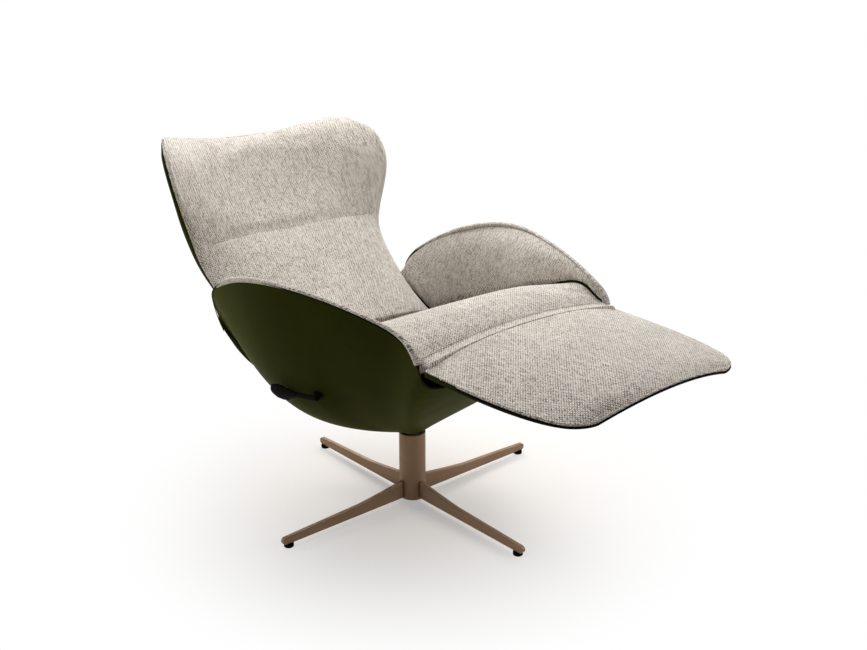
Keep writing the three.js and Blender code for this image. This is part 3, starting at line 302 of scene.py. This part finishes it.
leather = {
    "colour": (0.0125, 0.0150, 0.0014, 1),
    "worn": (0.0175, 0.0205, 0.0026, 1),
    "wornScale": 6,
    "grain": 420,  # cells per metre
    "crease": 0.75,  # brightness between the cells
    "bump": 0.12 * mm,
    "bumpShare": 0.5,
    "rough": (0.4, 0.6),
    "shine": 0.004,  # a matt, brushed leather
    "sheen": 0.16,
    "sheenRough": 0.45,
    "sheenTint": (0.55, 0.60, 0.16, 1),
}


def leatherMaterial(settings):
    material, nodes, shader = newMaterial("oliveLeather")
    place = nodes.add("ShaderNodeTexCoord").outputs["Object"]
    grain = {"Vector": place, "Scale": settings["grain"], "Randomness": 0.9}
    cells = nodes.add("ShaderNodeTexVoronoi", grain, feature="DISTANCE_TO_EDGE")
    edge = cells.outputs["Distance"]
    fine = nodes.noise(place, settings["grain"] * 2.5, 3)[0]
    wide = nodes.noise(place, settings["wornScale"], 5, Roughness=0.6)[0]
    patch = nodes.between(wide, 0.35, 0.7)
    colour = nodes.mix(patch, settings["colour"], settings["worn"])
    crease = nodes.between(edge, 0, 0.12, settings["crease"], 1)
    rough = nodes.math("ADD", fine, nodes.math("MULTIPLY", patch, 0.3))
    height = nodes.math("ADD", nodes.between(edge, 0, 0.25), nodes.math("MULTIPLY", fine, 0.3))
    nodes.put(shader.inputs["Base Color"], nodes.scaled(colour, crease))
    nodes.put(shader.inputs["Roughness"], nodes.between(rough, 0.2, 1.1, *settings["rough"]))
    nodes.put(shader.inputs["Normal"],
              nodes.bump(height, settings["bump"], settings["bumpShare"]))
    shader.inputs["Specular IOR Level"].default_value = settings["shine"]
    shader.inputs["Sheen Weight"].default_value = settings["sheen"]
    shader.inputs["Sheen Roughness"].default_value = settings["sheenRough"]
    shader.inputs["Sheen Tint"].default_value = settings["sheenTint"]
    return material


coating = {
    "colour": (0.235, 0.142, 0.076, 1),
    "rubbed": (0.30, 0.195, 0.115, 1),
    "rubbedScale": 9,
    "metal": 0.35,
    "rough": (0.42, 0.58),
    "speckle": 1400,
    "bump": 0.05 * mm,
    "bumpShare": 0.4,
}


def coatingMaterial(settings):
    material, nodes, shader = newMaterial("bronzeCoating")
    place = nodes.add("ShaderNodeTexCoord").outputs["Object"]
    speckle = nodes.noise(place, settings["speckle"], 2)[0]
    wide = nodes.noise(place, settings["rubbedScale"], 4)[0]
    share = nodes.math("ADD", nodes.between(wide, 0.4, 0.75, 0, 0.5),
                       nodes.between(speckle, 0.45, 0.75, 0, 0.3))
    colour = nodes.mix(share, settings["colour"], settings["rubbed"])
    nodes.put(shader.inputs["Base Color"], colour)
    nodes.put(shader.inputs["Roughness"], nodes.between(speckle, 0.3, 0.7, *settings["rough"]))
    nodes.put(shader.inputs["Normal"],
              nodes.bump(speckle, settings["bump"], settings["bumpShare"]))
    shader.inputs["Metallic"].default_value = settings["metal"]
    return material


steel = {
    "name": "zincedSteel",
    "colour": (0.30, 0.31, 0.33, 1),
    "other": (0.42, 0.43, 0.45, 1),
    "metal": 0.85,
    "rough": (0.31, 0.45),
    "scale": 300,
    "stretch": (1, 8, 1),
    "shine": 0.5,
}

nylon = {
    "name": "blackNylon",
    "colour": (0.0028, 0.0026, 0.0024, 1),
    "other": (0.006, 0.0056, 0.005, 1),
    "metal": 0,
    "rough": (0.53, 0.67),
    "scale": 900,
    "stretch": (1, 1, 1),
    "shine": 0.02,
}

plywood = {
    "name": "plywood",
    "colour": (0.42, 0.28, 0.155, 1),
    "other": (0.52, 0.37, 0.22, 1),
    "metal": 0,
    "rough": (0.63, 0.77),
    "scale": 120,
    "stretch": (1, 14, 1),
    "shine": 0.5,
}


def grainedMaterial(settings):  # two near colours in fine and wide patches, drawn out one way
    material, nodes, shader = newMaterial(settings["name"])
    place = nodes.add("ShaderNodeTexCoord").outputs["Object"]
    drawnOut = {"Vector": place, "Scale": settings["stretch"]}
    place = nodes.add("ShaderNodeMapping", drawnOut).outputs[0]
    fine = nodes.noise(place, settings["scale"], 4)[0]
    wide = nodes.noise(place, settings["scale"] / 40, 3)[0]
    share = nodes.math("ADD", nodes.between(fine, 0.35, 0.7, 0, 0.5),
                       nodes.between(wide, 0.4, 0.7, 0, 0.5))
    colour = nodes.mix(share, settings["colour"], settings["other"])
    nodes.put(shader.inputs["Base Color"], colour)
    nodes.put(shader.inputs["Roughness"], nodes.between(fine, 0.3, 0.7, *settings["rough"]))
    nodes.put(shader.inputs["Normal"], nodes.bump(fine, 0.05 * mm, 0.4))
    shader.inputs["Metallic"].default_value = settings["metal"]
    shader.inputs["Specular IOR Level"].default_value = settings["shine"]
    return material


finishes = {
    "fabric": tweedMaterial(tweed),
    "leather": leatherMaterial(leather),
    "bronze": coatingMaterial(coating),
    "steel": grainedMaterial(steel),
    "black": grainedMaterial(nylon),
    "board": grainedMaterial(plywood),
}
slotOfNode = {row["node"]: row["material_slot"] for row in frame["record"]["subparts"]}
for nodeName, node in frame["nodes"].items():
    node.data.materials.clear()
    node.data.materials.append(finishes[slotOfNode[nodeName]])
print("recliner: finishes ready")


# Ways to shape a piece
seams = {"ridge": 50, "fold": 30}  # degrees from which an edge of a solid is a seam
hardEdge = math.radians(40)


def addPiece(name, mesh, slot, body=None, replaced=()):
    piece = bpy.data.objects.new(name, mesh)
    scene.collection.objects.link(piece)
    mesh.materials.clear()
    mesh.materials.append(finishes[slot])
    if body:
        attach(piece, body)
    if replaced:
        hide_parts(*replaced)
    return piece


def copyOfNode(nodeName, name):  # the node's solid as whole faces, with its places merged
    mesh = frame["nodes"][nodeName].data.copy()
    mesh.name = name
    form = bmesh.new()
    form.from_mesh(mesh)
    bmesh.ops.remove_doubles(form, verts=form.verts, dist=0.02 * mm)
    bmesh.ops.join_triangles(form, faces=form.faces, angle_face_threshold=math.radians(35),
                             angle_shape_threshold=math.radians(50), cmp_seam=False,
                             cmp_sharp=False, cmp_uvs=False, cmp_vcols=False,
                             cmp_materials=False)
    form.to_mesh(mesh)
    form.free()
    for layer in list(mesh.uv_layers):
        mesh.uv_layers.remove(layer)
    if mesh.has_custom_normals:
        mesh.attributes.remove(mesh.attributes["custom_normal"])
    mesh.shade_smooth()
    return mesh


def applied(mesh, *makers):  # the mesh after modifiers, each given as a kind and its settings
    helper = bpy.data.objects.new("helper", mesh)
    scene.collection.objects.link(helper)
    for kind, settings in makers:
        modifier = helper.modifiers.new(kind, kind)
        for key, value in settings.items():
            setattr(modifier, key, value)
    graph = bpy.context.evaluated_depsgraph_get()
    made = bpy.data.meshes.new_from_object(helper.evaluated_get(graph))
    made.name = mesh.name
    bpy.data.objects.remove(helper)
    return made


def finer(levels):
    return "SUBSURF", {"levels": levels, "render_levels": levels}


def creased(mesh, ridge, fold=0.0):  # sets its seams' creases and marks where it is sewn
    form = bmesh.new()
    form.from_mesh(mesh)
    layer = form.edges.layers.float.new("crease_edge")
    sewn = form.verts.layers.float.new("sewn")
    for edge in form.edges:
        if len(edge.link_faces) != 2:
            continue
        turn = math.degrees(edge.calc_face_angle_signed())
        crease = ridge if turn > seams["ridge"] else fold if turn < -seams["fold"] else 0
        if crease:
            edge[layer] = crease
            for corner in edge.verts:
                corner[sewn] = 1
    form.to_mesh(mesh)
    form.free()
    return mesh


def coordinates(mesh):
    places = np.empty(len(mesh.vertices) * 3, np.float32)
    mesh.vertices.foreach_get("co", places)
    return places.reshape(-1, 3).astype(float)


def moveTo(mesh, places):
    mesh.vertices.foreach_set("co", places.astype(np.float32).ravel())
    mesh.update()


def vertexNormals(mesh):
    normals = np.empty(len(mesh.vertices) * 3, np.float32)
    mesh.vertex_normals.foreach_get("vector", normals)
    return normals.reshape(-1, 3).astype(float)


def smoothstep(value, low, high):
    share = np.clip((value - low) / (high - low), 0, 1)
    return share * share * (3 - 2 * share)


def layCloth(mesh, placeOn):  # writes the weave's own map: metres across and along the cloth
    layer = mesh.uv_layers.get("cloth") or mesh.uv_layers.new(name="cloth")
    across, along = placeOn(coordinates(mesh))
    corners = np.empty(len(mesh.loops), np.int32)
    mesh.loops.foreach_get("vertex_index", corners)
    pairs = np.stack([across[corners], along[corners]], axis=1).astype(np.float32)
    layer.data.foreach_set("uv", pairs.ravel())


def alongPath(path, y, z):  # how far along a line in the Y-Z plane each point lies
    path = np.array(path)
    lengths = np.concatenate([[0], np.cumsum(np.linalg.norm(np.diff(path, axis=0), axis=1))])
    best = np.full(len(y), 1e9)
    result = np.zeros(len(y))
    for k in range(len(path) - 1):
        way = path[k + 1] - path[k]
        share = ((y - path[k][0]) * way[0] + (z - path[k][1]) * way[1]) / way.dot(way)
        isFirst, isLast = k == 0, k == len(path) - 2  # these two go on past their ends
        share = np.clip(share, -np.inf if isFirst else 0, np.inf if isLast else 1)
        far = np.hypot(y - path[k][0] - share * way[0], z - path[k][1] - share * way[1])
        nearer = far < best
        best[nearer] = far[nearer]
        result[nearer] = (lengths[k] + share * np.linalg.norm(way))[nearer]
    return result


def tube(name, places, radius, slot, body, closed=False, sizes=()):  # round, on a smooth line
    curve = bpy.data.curves.new(name, "CURVE")
    curve.dimensions = "3D"
    curve.bevel_depth = radius
    curve.bevel_resolution = 3
    curve.use_fill_caps = True
    spline = curve.splines.new("NURBS")
    spline.points.add(len(places) - 1)
    for point, place in zip(spline.points, places):
        point.co = (*place, 1)
    for point, size in zip(spline.points, sizes):  # how much thicker or thinner than the radius
        point.radius = size
    spline.use_cyclic_u = closed
    spline.use_endpoint_u = not closed
    spline.order_u = 4
    spline.resolution_u = 4
    helper = bpy.data.objects.new(name, curve)
    scene.collection.objects.link(helper)
    graph = bpy.context.evaluated_depsgraph_get()
    mesh = bpy.data.meshes.new_from_object(helper.evaluated_get(graph))
    mesh.name = name
    bpy.data.objects.remove(helper)
    mesh.shade_smooth()
    if slot == "fabric":
        layCloth(mesh, weltCloth)
    return addPiece(name, mesh, slot, body)


def sharpLines(nodeName):  # lines of sharp edges on a node, longest first
    form = bmesh.new()
    mesh = copyOfNode(nodeName, "edges")
    form.from_mesh(mesh)
    least = math.radians(seams["ridge"])
    sharp = {edge.index: edge for edge in form.edges
             if len(edge.link_faces) == 2 and edge.calc_face_angle() > least}
    lines = []
    while sharp:
        edge = sharp.pop(min(sharp))
        line = [edge.verts[0], edge.verts[1]]
        for end in range(2):
            while True:
                onward = [e for e in line[-1].link_edges if e.index in sharp]
                if not onward:
                    break
                last, way = line[-1], line[-1].co - line[-2].co
                best = max(onward, key=lambda e: (e.other_vert(last).co - last.co).normalized()
                           .dot(way))
                line.append(sharp.pop(best.index).other_vert(last))
            line.reverse()
        lines.append([corner.co.copy() for corner in line])
    form.free()
    bpy.data.meshes.remove(mesh)
    return sorted(lines, key=lambda line: -sum((b - a).length for a, b in zip(line, line[1:])))


def treeOf(mesh):
    return BVHTree.FromPolygons([corner.co.copy() for corner in mesh.vertices],
                                [list(face.vertices) for face in mesh.polygons])


# Leather shells
shellSettings = {"crease": 0.75, "levels": 3}


def addShell(nodeName, name, body, settings):
    mesh = creased(copyOfNode(nodeName, name), settings["crease"])
    mesh = applied(mesh, finer(settings["levels"]))
    mesh.shade_smooth()
    addPiece(name, mesh, "leather", body, [nodeName])


addShell("bucket_shell", "bucketLeather", "seat", shellSettings)
addShell("back_shell", "backLeather", "back", shellSettings)
addShell("footrest_shell", "footLeather", "footrest", shellSettings)
print("recliner: leather shells made")

# Cushions: finely divided copies of the solids, blown up as sewn cloth that is held at its
# seams and where it rests
clothLay = {  # how the weave lies on each form
    "seat": [(0.17, 0.33), (0.165, 0.40), (-0.1, 0.50), (-0.2, 0.545), (-0.24, 0.555),
             (-0.28, 0.54), (-0.31, 0.52), (-0.338, 0.50), (-0.345, 0.45)],  # y and z
    "armSkew": 0.2,
    "armUp": 0.95,
    "armOut": 0.85,
    "wingCurl": 0.13,  # how far the wings stand forward
    "wingHalfWidth": 0.313,
    "wingPower": 2.2,
    "wingLength": 1.1,
    "backUp": (0.735, 0.678),
    "weltSkew": 0.7,
}


def seatCloth(places):
    return places[:, 0], alongPath(clothLay["seat"], places[:, 1], places[:, 2])


def armCloth(places):
    out = np.abs(places[:, 0])
    up = places[:, 2] * clothLay["armUp"] + clothLay["armOut"] * out
    return places[:, 1] + clothLay["armSkew"] * out, up


def backCloth(places):
    out = np.abs(places[:, 0]) / clothLay["wingHalfWidth"]
    curl = clothLay["wingCurl"] * out ** clothLay["wingPower"]
    across = np.sign(places[:, 0]) * np.hypot(places[:, 0], clothLay["wingLength"] * curl)
    alongY, alongZ = clothLay["backUp"]
    return across, places[:, 1] * alongY + places[:, 2] * alongZ


def footCloth(places):
    return places[:, 0], places[:, 1]


def weltCloth(places):
    return places[:, 0] + places[:, 1], places[:, 2] - clothLay["weltSkew"] * places[:, 0]


armEnd = {
    "from": -0.06,  # from here to its front the arm's cloth thins out
    "to": -0.28,
    "share": 0.85,
    "least": 2.5 * mm,
    "tail": 0.31,  # and from here to its rear end it keeps inside the rim
    "tailTo": 0.365,
    "tailIn": 9 * mm,
}
seatEnd = {
    "from": 0.15,  # from here to its front the seat fills up to the arms
    "to": -0.02,
    "wider": 8 * mm,
    "halfWidth": 0.27,
    "power": 5,
}
cushions = [
    # ridge and fold: creases of the outer and inner seams; rests: the side that it lies on;
    # cap: how far a point may move; shrink: how much smaller it starts; fill: how tight it is
    {"node": "seat_cushion", "name": "seatFabric", "body": "seat", "cloth": seatCloth,
     "ridge": 0.3, "fold": 0, "rests": (0, 0.29, -0.96), "cap": 10 * mm, "shrink": 4 * mm,
     "fill": 0.75, "wide": seatEnd},
    {"node": "back_cushion", "name": "backFabric", "body": "back", "cloth": backCloth,
     "ridge": 0.6, "fold": 0.7, "rests": (0, 0.68, -0.73), "cap": 5 * mm, "shrink": 1.5 * mm,
     "fill": 0.75},
    {"node": "arm_pad_left", "name": "armFabricLeft", "body": "seat", "cloth": armCloth,
     "ridge": 0.4, "fold": 0, "rests": (0.93, 0, -0.37), "cap": 8 * mm, "shrink": 3 * mm,
     "fill": 0.8, "thin": armEnd},
    {"node": "arm_pad_right", "name": "armFabricRight", "body": "seat", "cloth": armCloth,
     "ridge": 0.4, "fold": 0, "rests": (-0.93, 0, -0.37), "cap": 8 * mm, "shrink": 3 * mm,
     "fill": 0.8, "thin": armEnd},
    {"node": "footrest_pad", "name": "footFabric", "body": "footrest", "cloth": footCloth,
     "ridge": 0.8, "fold": 0, "rests": (0, 0, -1), "cap": 8 * mm, "shrink": 3 * mm,
     "fill": 0.8},
]
clothSettings = {
    "levels": 2,
    "restsFrom": 0.6,  # how squarely a point has to face the side that the cushion lies on
    "leastHold": 0.02,
    "pressure": 4,
    "mass": 0.3,
    "quality": 4,
    "frames": 20,
    "smooth": 0.4,
    "smoothTimes": 2,
}


def thinToFront(mesh, settings):
    shell = copyOfNode("bucket_shell", "wall")
    tree = treeOf(shell)
    places = coordinates(mesh)
    tail = smoothstep(places[:, 1], settings["tail"], settings["tailTo"])
    places[:, 0] -= np.sign(places[:, 0]) * settings["tailIn"] * tail
    places[:, 1] -= settings["tailIn"] * tail
    for place in places:
        if place[1] > settings["from"]:
            continue
        nearest, _, _, far = tree.find_nearest(Vector(place))
        share = settings["share"] * smoothstep(place[1], settings["from"], settings["to"])
        if far > settings["least"]:
            place += (np.array(nearest) - place) * share * (far - settings["least"]) / far
    moveTo(mesh, places)
    bpy.data.meshes.remove(shell)


def widenToFront(mesh, settings):
    places = coordinates(mesh)
    share = smoothstep(places[:, 1], settings["from"], settings["to"])
    out = np.minimum(1, np.abs(places[:, 0]) / settings["halfWidth"])
    wider = settings["wider"] * share * out ** settings["power"]
    places[:, 0] += np.sign(places[:, 0]) * wider
    moveTo(mesh, places)


def readySoft(cushion, settings):
    mesh = copyOfNode(cushion["node"], cushion["name"])
    mesh = applied(creased(mesh, cushion["ridge"], cushion["fold"]), finer(settings["levels"]))
    if "thin" in cushion:
        thinToFront(mesh, cushion["thin"])
    if "wide" in cushion:
        widenToFront(mesh, cushion["wide"])
    sewn = np.empty(len(mesh.vertices), np.float32)
    mesh.attributes["sewn"].data.foreach_get("value", sewn)
    rests = vertexNormals(mesh) @ np.array(cushion["rests"]) > settings["restsFrom"]
    held = np.clip(np.maximum(sewn, rests), 0, 1)
    inwards = vertexNormals(mesh) * (cushion["shrink"] * (1 - held))[:, None]
    cushion["home"] = coordinates(mesh)
    cushion["start"] = cushion["home"] - inwards
    cushion["held"] = held
    moveTo(mesh, cushion["start"])
    helper = bpy.data.objects.new(cushion["name"] + "Form", mesh)
    scene.collection.objects.link(helper)
    cushion["helper"] = helper


def blowUp(cushions, settings):
    for cushion in cushions:
        helper = cushion["helper"]
        group = helper.vertex_groups.new(name="held")
        for index, weight in enumerate(cushion["held"]):
            if weight > settings["leastHold"]:
                group.add([index], float(weight), "REPLACE")
        cloth = helper.modifiers.new("cloth", "CLOTH")
        cloth.settings.quality = settings["quality"]
        cloth.settings.mass = settings["mass"]
        cloth.settings.vertex_group_mass = "held"
        cloth.settings.use_pressure = True
        cloth.settings.uniform_pressure_force = settings["pressure"]
        cloth.settings.effector_weights.gravity = 0
        cloth.point_cache.frame_end = settings["frames"]
    for step in range(1, settings["frames"] + 1):
        scene.frame_set(step)
    graph = bpy.context.evaluated_depsgraph_get()
    for cushion in cushions:
        shape = cushion["helper"].evaluated_get(graph).to_mesh()
        way = coordinates(shape) - cushion["start"]
        far = np.maximum(np.linalg.norm(way, axis=1, keepdims=True), 1e-9)
        cushion["puffed"] = cushion["start"] + way * np.minimum(1, cushion["cap"] / far)
    scene.frame_set(1)


def finishSoft(cushion, settings):
    helper = cushion["helper"]
    mesh = helper.data
    moveTo(mesh, cushion.get("puffed", cushion["home"]))
    bpy.data.objects.remove(helper)
    even = {"factor": settings["smooth"], "iterations": settings["smoothTimes"]}
    mesh = applied(mesh, ("SMOOTH", even), finer(1))
    mesh.shade_smooth()
    layCloth(mesh, cushion["cloth"])
    piece = addPiece(cushion["name"], mesh, "fabric", cushion["body"], [cushion["node"]])


for cushion in cushions:
    readySoft(cushion, clothSettings)
blowUp(cushions, clothSettings)
for cushion in cushions:
    finishSoft(cushion, clothSettings)
print("recliner: cushions made")

# The sewn band between seat and footrest: a raised line along each edge, and flat between them
bandSettings = {
    "rear": -0.3335,
    "front": -0.3685,
    "halfWidth": 0.264,
    "top": 0.5362,
    "drop": 0.0245,  # how much lower its ends lie
    "ridge": 2.0 * mm,
    "ridgeAt": 0.8,  # share of half the width
    "ridgeWidth": 0.075,
    "sink": 2.6 * mm,
    "skirt": 14 * mm,  # how far its long edges turn down
    "skirtFrom": 0.88,
    "endDrop": 6 * mm,
    "endFrom": 0.97,
    "wall": 3 * mm,
    "across": 160,
    "along": 40,
}


def addBand(settings):
    form = bmesh.new()
    bmesh.ops.create_grid(form, x_segments=settings["across"], y_segments=settings["along"],
                          size=0.5)
    middle = (settings["front"] + settings["rear"]) / 2
    width = settings["rear"] - settings["front"]
    for corner in form.verts:
        side, back = corner.co.x * 2, corner.co.y * 2  # -1 to 1, to the left and to the rear
        edge = abs(back)
        top = settings["top"] - settings["drop"] * side * side
        fromRidge = (edge - settings["ridgeAt"]) / settings["ridgeWidth"]
        top += settings["ridge"] * math.exp(-fromRidge ** 2) - settings["sink"] * (1 - edge ** 4)
        fall = max(0, edge - settings["skirtFrom"]) / (1 - settings["skirtFrom"])
        end = max(0, abs(side) - settings["endFrom"]) / (1 - settings["endFrom"])
        top -= settings["skirt"] * fall ** 2 + settings["endDrop"] * end ** 2
        corner.co = Vector((side * settings["halfWidth"], middle + back * width / 2, top))
    bmesh.ops.recalc_face_normals(form, faces=form.faces)
    bmesh.ops.solidify(form, geom=form.faces[:], thickness=settings["wall"])
    mesh = bpy.data.meshes.new("bandFabric")
    form.to_mesh(mesh)
    form.free()
    mesh.shade_smooth()
    layCloth(mesh, footCloth)
    piece = addPiece("bandFabric", mesh, "fabric", None, ["hinge_strip"])
    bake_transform(piece)


addBand(bandSettings)
print("recliner: band made")

# Edgings: a light welt over each arm's rim, a dark cord under it, and the other pieces' welts; thin
# black tubes of painted shade in the back's seam and under the footrest's welt
edging = {
    "cord": 1.0 * mm,  # radius
    "cordOut": 0.4 * mm,
    "cordDown": 1.6 * mm,
    "armWelt": 3.6 * mm,  # least radius
    "weltMore": 2.7 * mm,  # how much more than half the gap between rim and pad its radius is
    "weltGap": 11 * mm,
    "weltOut": 1.4 * mm,
    "weltLift": 1.6 * mm,
    "weltRear": 0.345,  # the light welt ends here, before the rim turns down behind
    "weltTaper": 70 * mm,  # and gets thinner over this length
    "weltLeast": 0.3,
    "weltSmoothing": 4,
    "rimCentre": (0.0, 0.30),  # y and z of the point that the arm's edge is looked at from
    "rimRear": 14,  # degrees round that point
    "rimFront": 151,
    "rimLeft": 0.2,  # only what lies further left is the left arm
    "rimGroup": 9 * mm,
    "welt": 1.7 * mm,
    # radius of the black tube of painted shade in the back's seam
    "seam": 0.8 * mm,
    # the black bar of painted shade under the footrest's welt: its radius, and how far down it lies
    "footShadeBar": 2.4 * mm,
    "footShadeBarDown": 4.6 * mm,
    "footRear": -0.372,  # the footrest's welt starts here, in front of the band
}


def leftArmRim(settings):  # the rim's outer and inner edge lines, from its rear to its front
    centreY, centreZ = settings["rimCentre"]
    turned = {}
    for place in [place for line in sharpLines("bucket_shell") for place in line]:
        turn = math.degrees(math.atan2(place.z - centreZ, place.y - centreY))
        isAhead = settings["rimRear"] <= turn <= settings["rimFront"]
        if place.x > settings["rimLeft"] and isAhead:
            turned[round(turn, 4), round(place.x, 5)] = place
    columns = []
    for _, place in sorted(turned.items()):
        if columns and (place - columns[-1][-1]).length < settings["rimGroup"]:
            columns[-1].append(place)
        else:
            columns.append([place])
    columns = [sorted(column, key=lambda place: place.x) for column in columns if len(column) > 1]
    return [column[-1] for column in columns], [column[0] for column in columns]


def weltLine(inner, settings):  # a welt's middle and thickness that close the gap to the pad
    tree = treeOf(bpy.data.objects["armFabricLeft"].data)
    inner = [place for place in inner if place.y < settings["weltRear"]]
    ways = np.array([tree.find_nearest(place)[0] - place for place in inner])
    for _ in range(settings["weltSmoothing"]):
        ways[1:-1] = (ways[:-2] + 2 * ways[1:-1] + ways[2:]) / 4
    gaps = np.linalg.norm(ways, axis=1)
    ways *= (np.minimum(gaps, settings["weltGap"]) / gaps)[:, None]
    radii = np.linalg.norm(ways, axis=1) / 2 + settings["weltMore"]
    radii = np.maximum(settings["armWelt"], radii)
    toEnd = [(settings["weltRear"] - place.y) / settings["weltTaper"] for place in inner]
    radii *= np.clip(toEnd, settings["weltLeast"], 1)
    shift = Vector((settings["weltOut"], 0, settings["weltLift"]))
    places = [place + Vector(way) / 2 + shift for place, way in zip(inner, ways)]
    return places, radii / settings["armWelt"]


def onSide(side, places):  # the left arm's places, or their mirror image
    return [Vector((side * place.x, place.y, place.z)) for place in places]


def addArmEdgings(settings):
    outer, inner = leftArmRim(settings)
    shift = Vector((settings["cordOut"], 0, -settings["cordDown"]))
    cord = [place + shift for place in outer]
    welt, sizes = weltLine(inner, settings)
    for side, name in ((1, "Left"), (-1, "Right")):
        tube("armCord" + name, onSide(side, cord), settings["cord"], "black", "seat")
        tube("armWelt" + name, onSide(side, welt), settings["armWelt"], "fabric", "seat",
             sizes=sizes)


def addBackEdgings(settings):
    lines = sharpLines("back_cushion")
    tube("backWelt", lines[0][:-1], settings["welt"], "fabric", "back", closed=True)
    # A thin black tube in the back's seam is painted shade, for the shade under the overlapping
    # upper cloth.
    tube("backSeam", lines[2], settings["seam"], "black", "back")


def addFootEdgings(settings):
    around = sharpLines("footrest_pad")[0][:-1]
    rear = settings["footRear"]
    rightSide = [k for k, place in enumerate(around) if place.y < rear and place.x < 0]
    start = max(rightSide, key=lambda k: around[k].y)
    front = [place for place in around[start:] + around[:start] if place.y < rear]
    tube("footWelt", front, settings["welt"], "fabric", "footrest")
    # A black bar under the welt is painted shade, standing for the shaded front edge of the
    # leather.
    low = [place - Vector((0, 0, settings["footShadeBarDown"])) for place in front]
    tube("footShadeBar", low, settings["footShadeBar"], "black", "footrest")


addArmEdgings(edging)
addBackEdgings(edging)
addFootEdgings(edging)
print("recliner: edgings made")

# Metal and plastic
columnSettings = {
    "radius": 31 * mm,
    "wall": 7 * mm,
    "foot": 4 * mm,
    "top": 170 * mm,
    "edge": 0.8 * mm,
    "steps": 96,
}


def spun(name, profile, steps):  # a ring round the Z axis from a closed line of (radius, height)
    form = bmesh.new()
    corners = [form.verts.new((radius, 0, height)) for radius, height in profile]
    edges = [form.edges.new(pair) for pair in zip(corners, corners[1:] + corners[:1])]
    bmesh.ops.spin(form, geom=corners + edges, cent=(0, 0, 0), axis=(0, 0, 1),
                   angle=2 * math.pi, steps=steps, use_merge=True, use_duplicate=False)
    bmesh.ops.remove_doubles(form, verts=form.verts, dist=0.005 * mm)
    bmesh.ops.recalc_face_normals(form, faces=form.faces)
    mesh = bpy.data.meshes.new(name)
    form.to_mesh(mesh)
    form.free()
    mesh.shade_smooth()
    mesh.set_sharp_from_angle(angle=hardEdge)
    return mesh


def addColumn(settings):
    outer, edge = settings["radius"], settings["edge"]
    inner = outer - settings["wall"]
    low, high = settings["foot"], settings["top"]
    profile = [(inner, low), (outer - edge, low), (outer, low + edge), (outer, high - edge),
               (outer - edge, high), (inner + edge, high), (inner, high - edge)]
    mesh = spun("columnTube", profile, settings["steps"])
    addPiece("columnTube", mesh, "bronze", "base", ["column"])


legSettings = {"bevel": 0.5 * mm, "segments": 2, "bevelFrom": 30, "sharpFrom": 28}  # degrees


def addLegs(settings):
    bevel = {"width": settings["bevel"], "segments": settings["segments"],
             "limit_method": "ANGLE", "angle_limit": math.radians(settings["bevelFrom"])}
    for side in ("left", "rear", "right", "front"):
        name = "leg_" + side + "_blade"
        mesh = copyOfNode("leg_" + side, name)
        mesh.set_sharp_from_angle(angle=math.radians(settings["sharpFrom"]))
        mesh = applied(mesh, ("BEVEL", bevel))
        mesh.shade_smooth()
        mesh.set_sharp_from_angle(angle=hardEdge)
        addPiece(name, mesh, "bronze", "base", ["leg_" + side])


leverSettings = {
    "root": (-0.26894, -0.01401, 0.341),  # the same place and directions as in the CAD part
    "out": (-0.85077, -0.23232, -0.47140),
    "along": (-0.21323, 0.97243, -0.09441),
    "up": (-0.48034, -0.02019, 0.87685),
    "voxel": 1.1 * mm,
    "smooth": 0.5,
    "smoothTimes": 3,
    "headFrom": 50 * mm,  # the grip's head, along the lever
    "headTo": 80 * mm,
    "taller": 0.75,  # how much more than the solid
    "thicker": 0.3,
    "middle": 13 * mm,
}


def addLever(settings):
    even = {"factor": settings["smooth"], "iterations": settings["smoothTimes"]}
    remesh = {"mode": "VOXEL", "voxel_size": settings["voxel"], "use_smooth_shade": True}
    mesh = copyOfNode("release_lever", "leverHandle")
    mesh = applied(mesh, ("REMESH", remesh), ("SMOOTH", even))
    frameOf = np.array([settings["out"], settings["along"], settings["up"]])
    own = (coordinates(mesh) - settings["root"]) @ frameOf.T
    head = smoothstep(own[:, 1], settings["headFrom"], settings["headTo"])
    own[:, 0] += (own[:, 0] - settings["middle"]) * settings["thicker"] * head
    own[:, 2] *= 1 + settings["taller"] * head
    moveTo(mesh, own @ frameOf + settings["root"])
    addPiece("leverHandle", mesh, "black", "lever", ["release_lever"])


addColumn(columnSettings)
addLegs(legSettings)
addLever(leverSettings)
print("recliner: metal made")

# End
print("recliner: done")
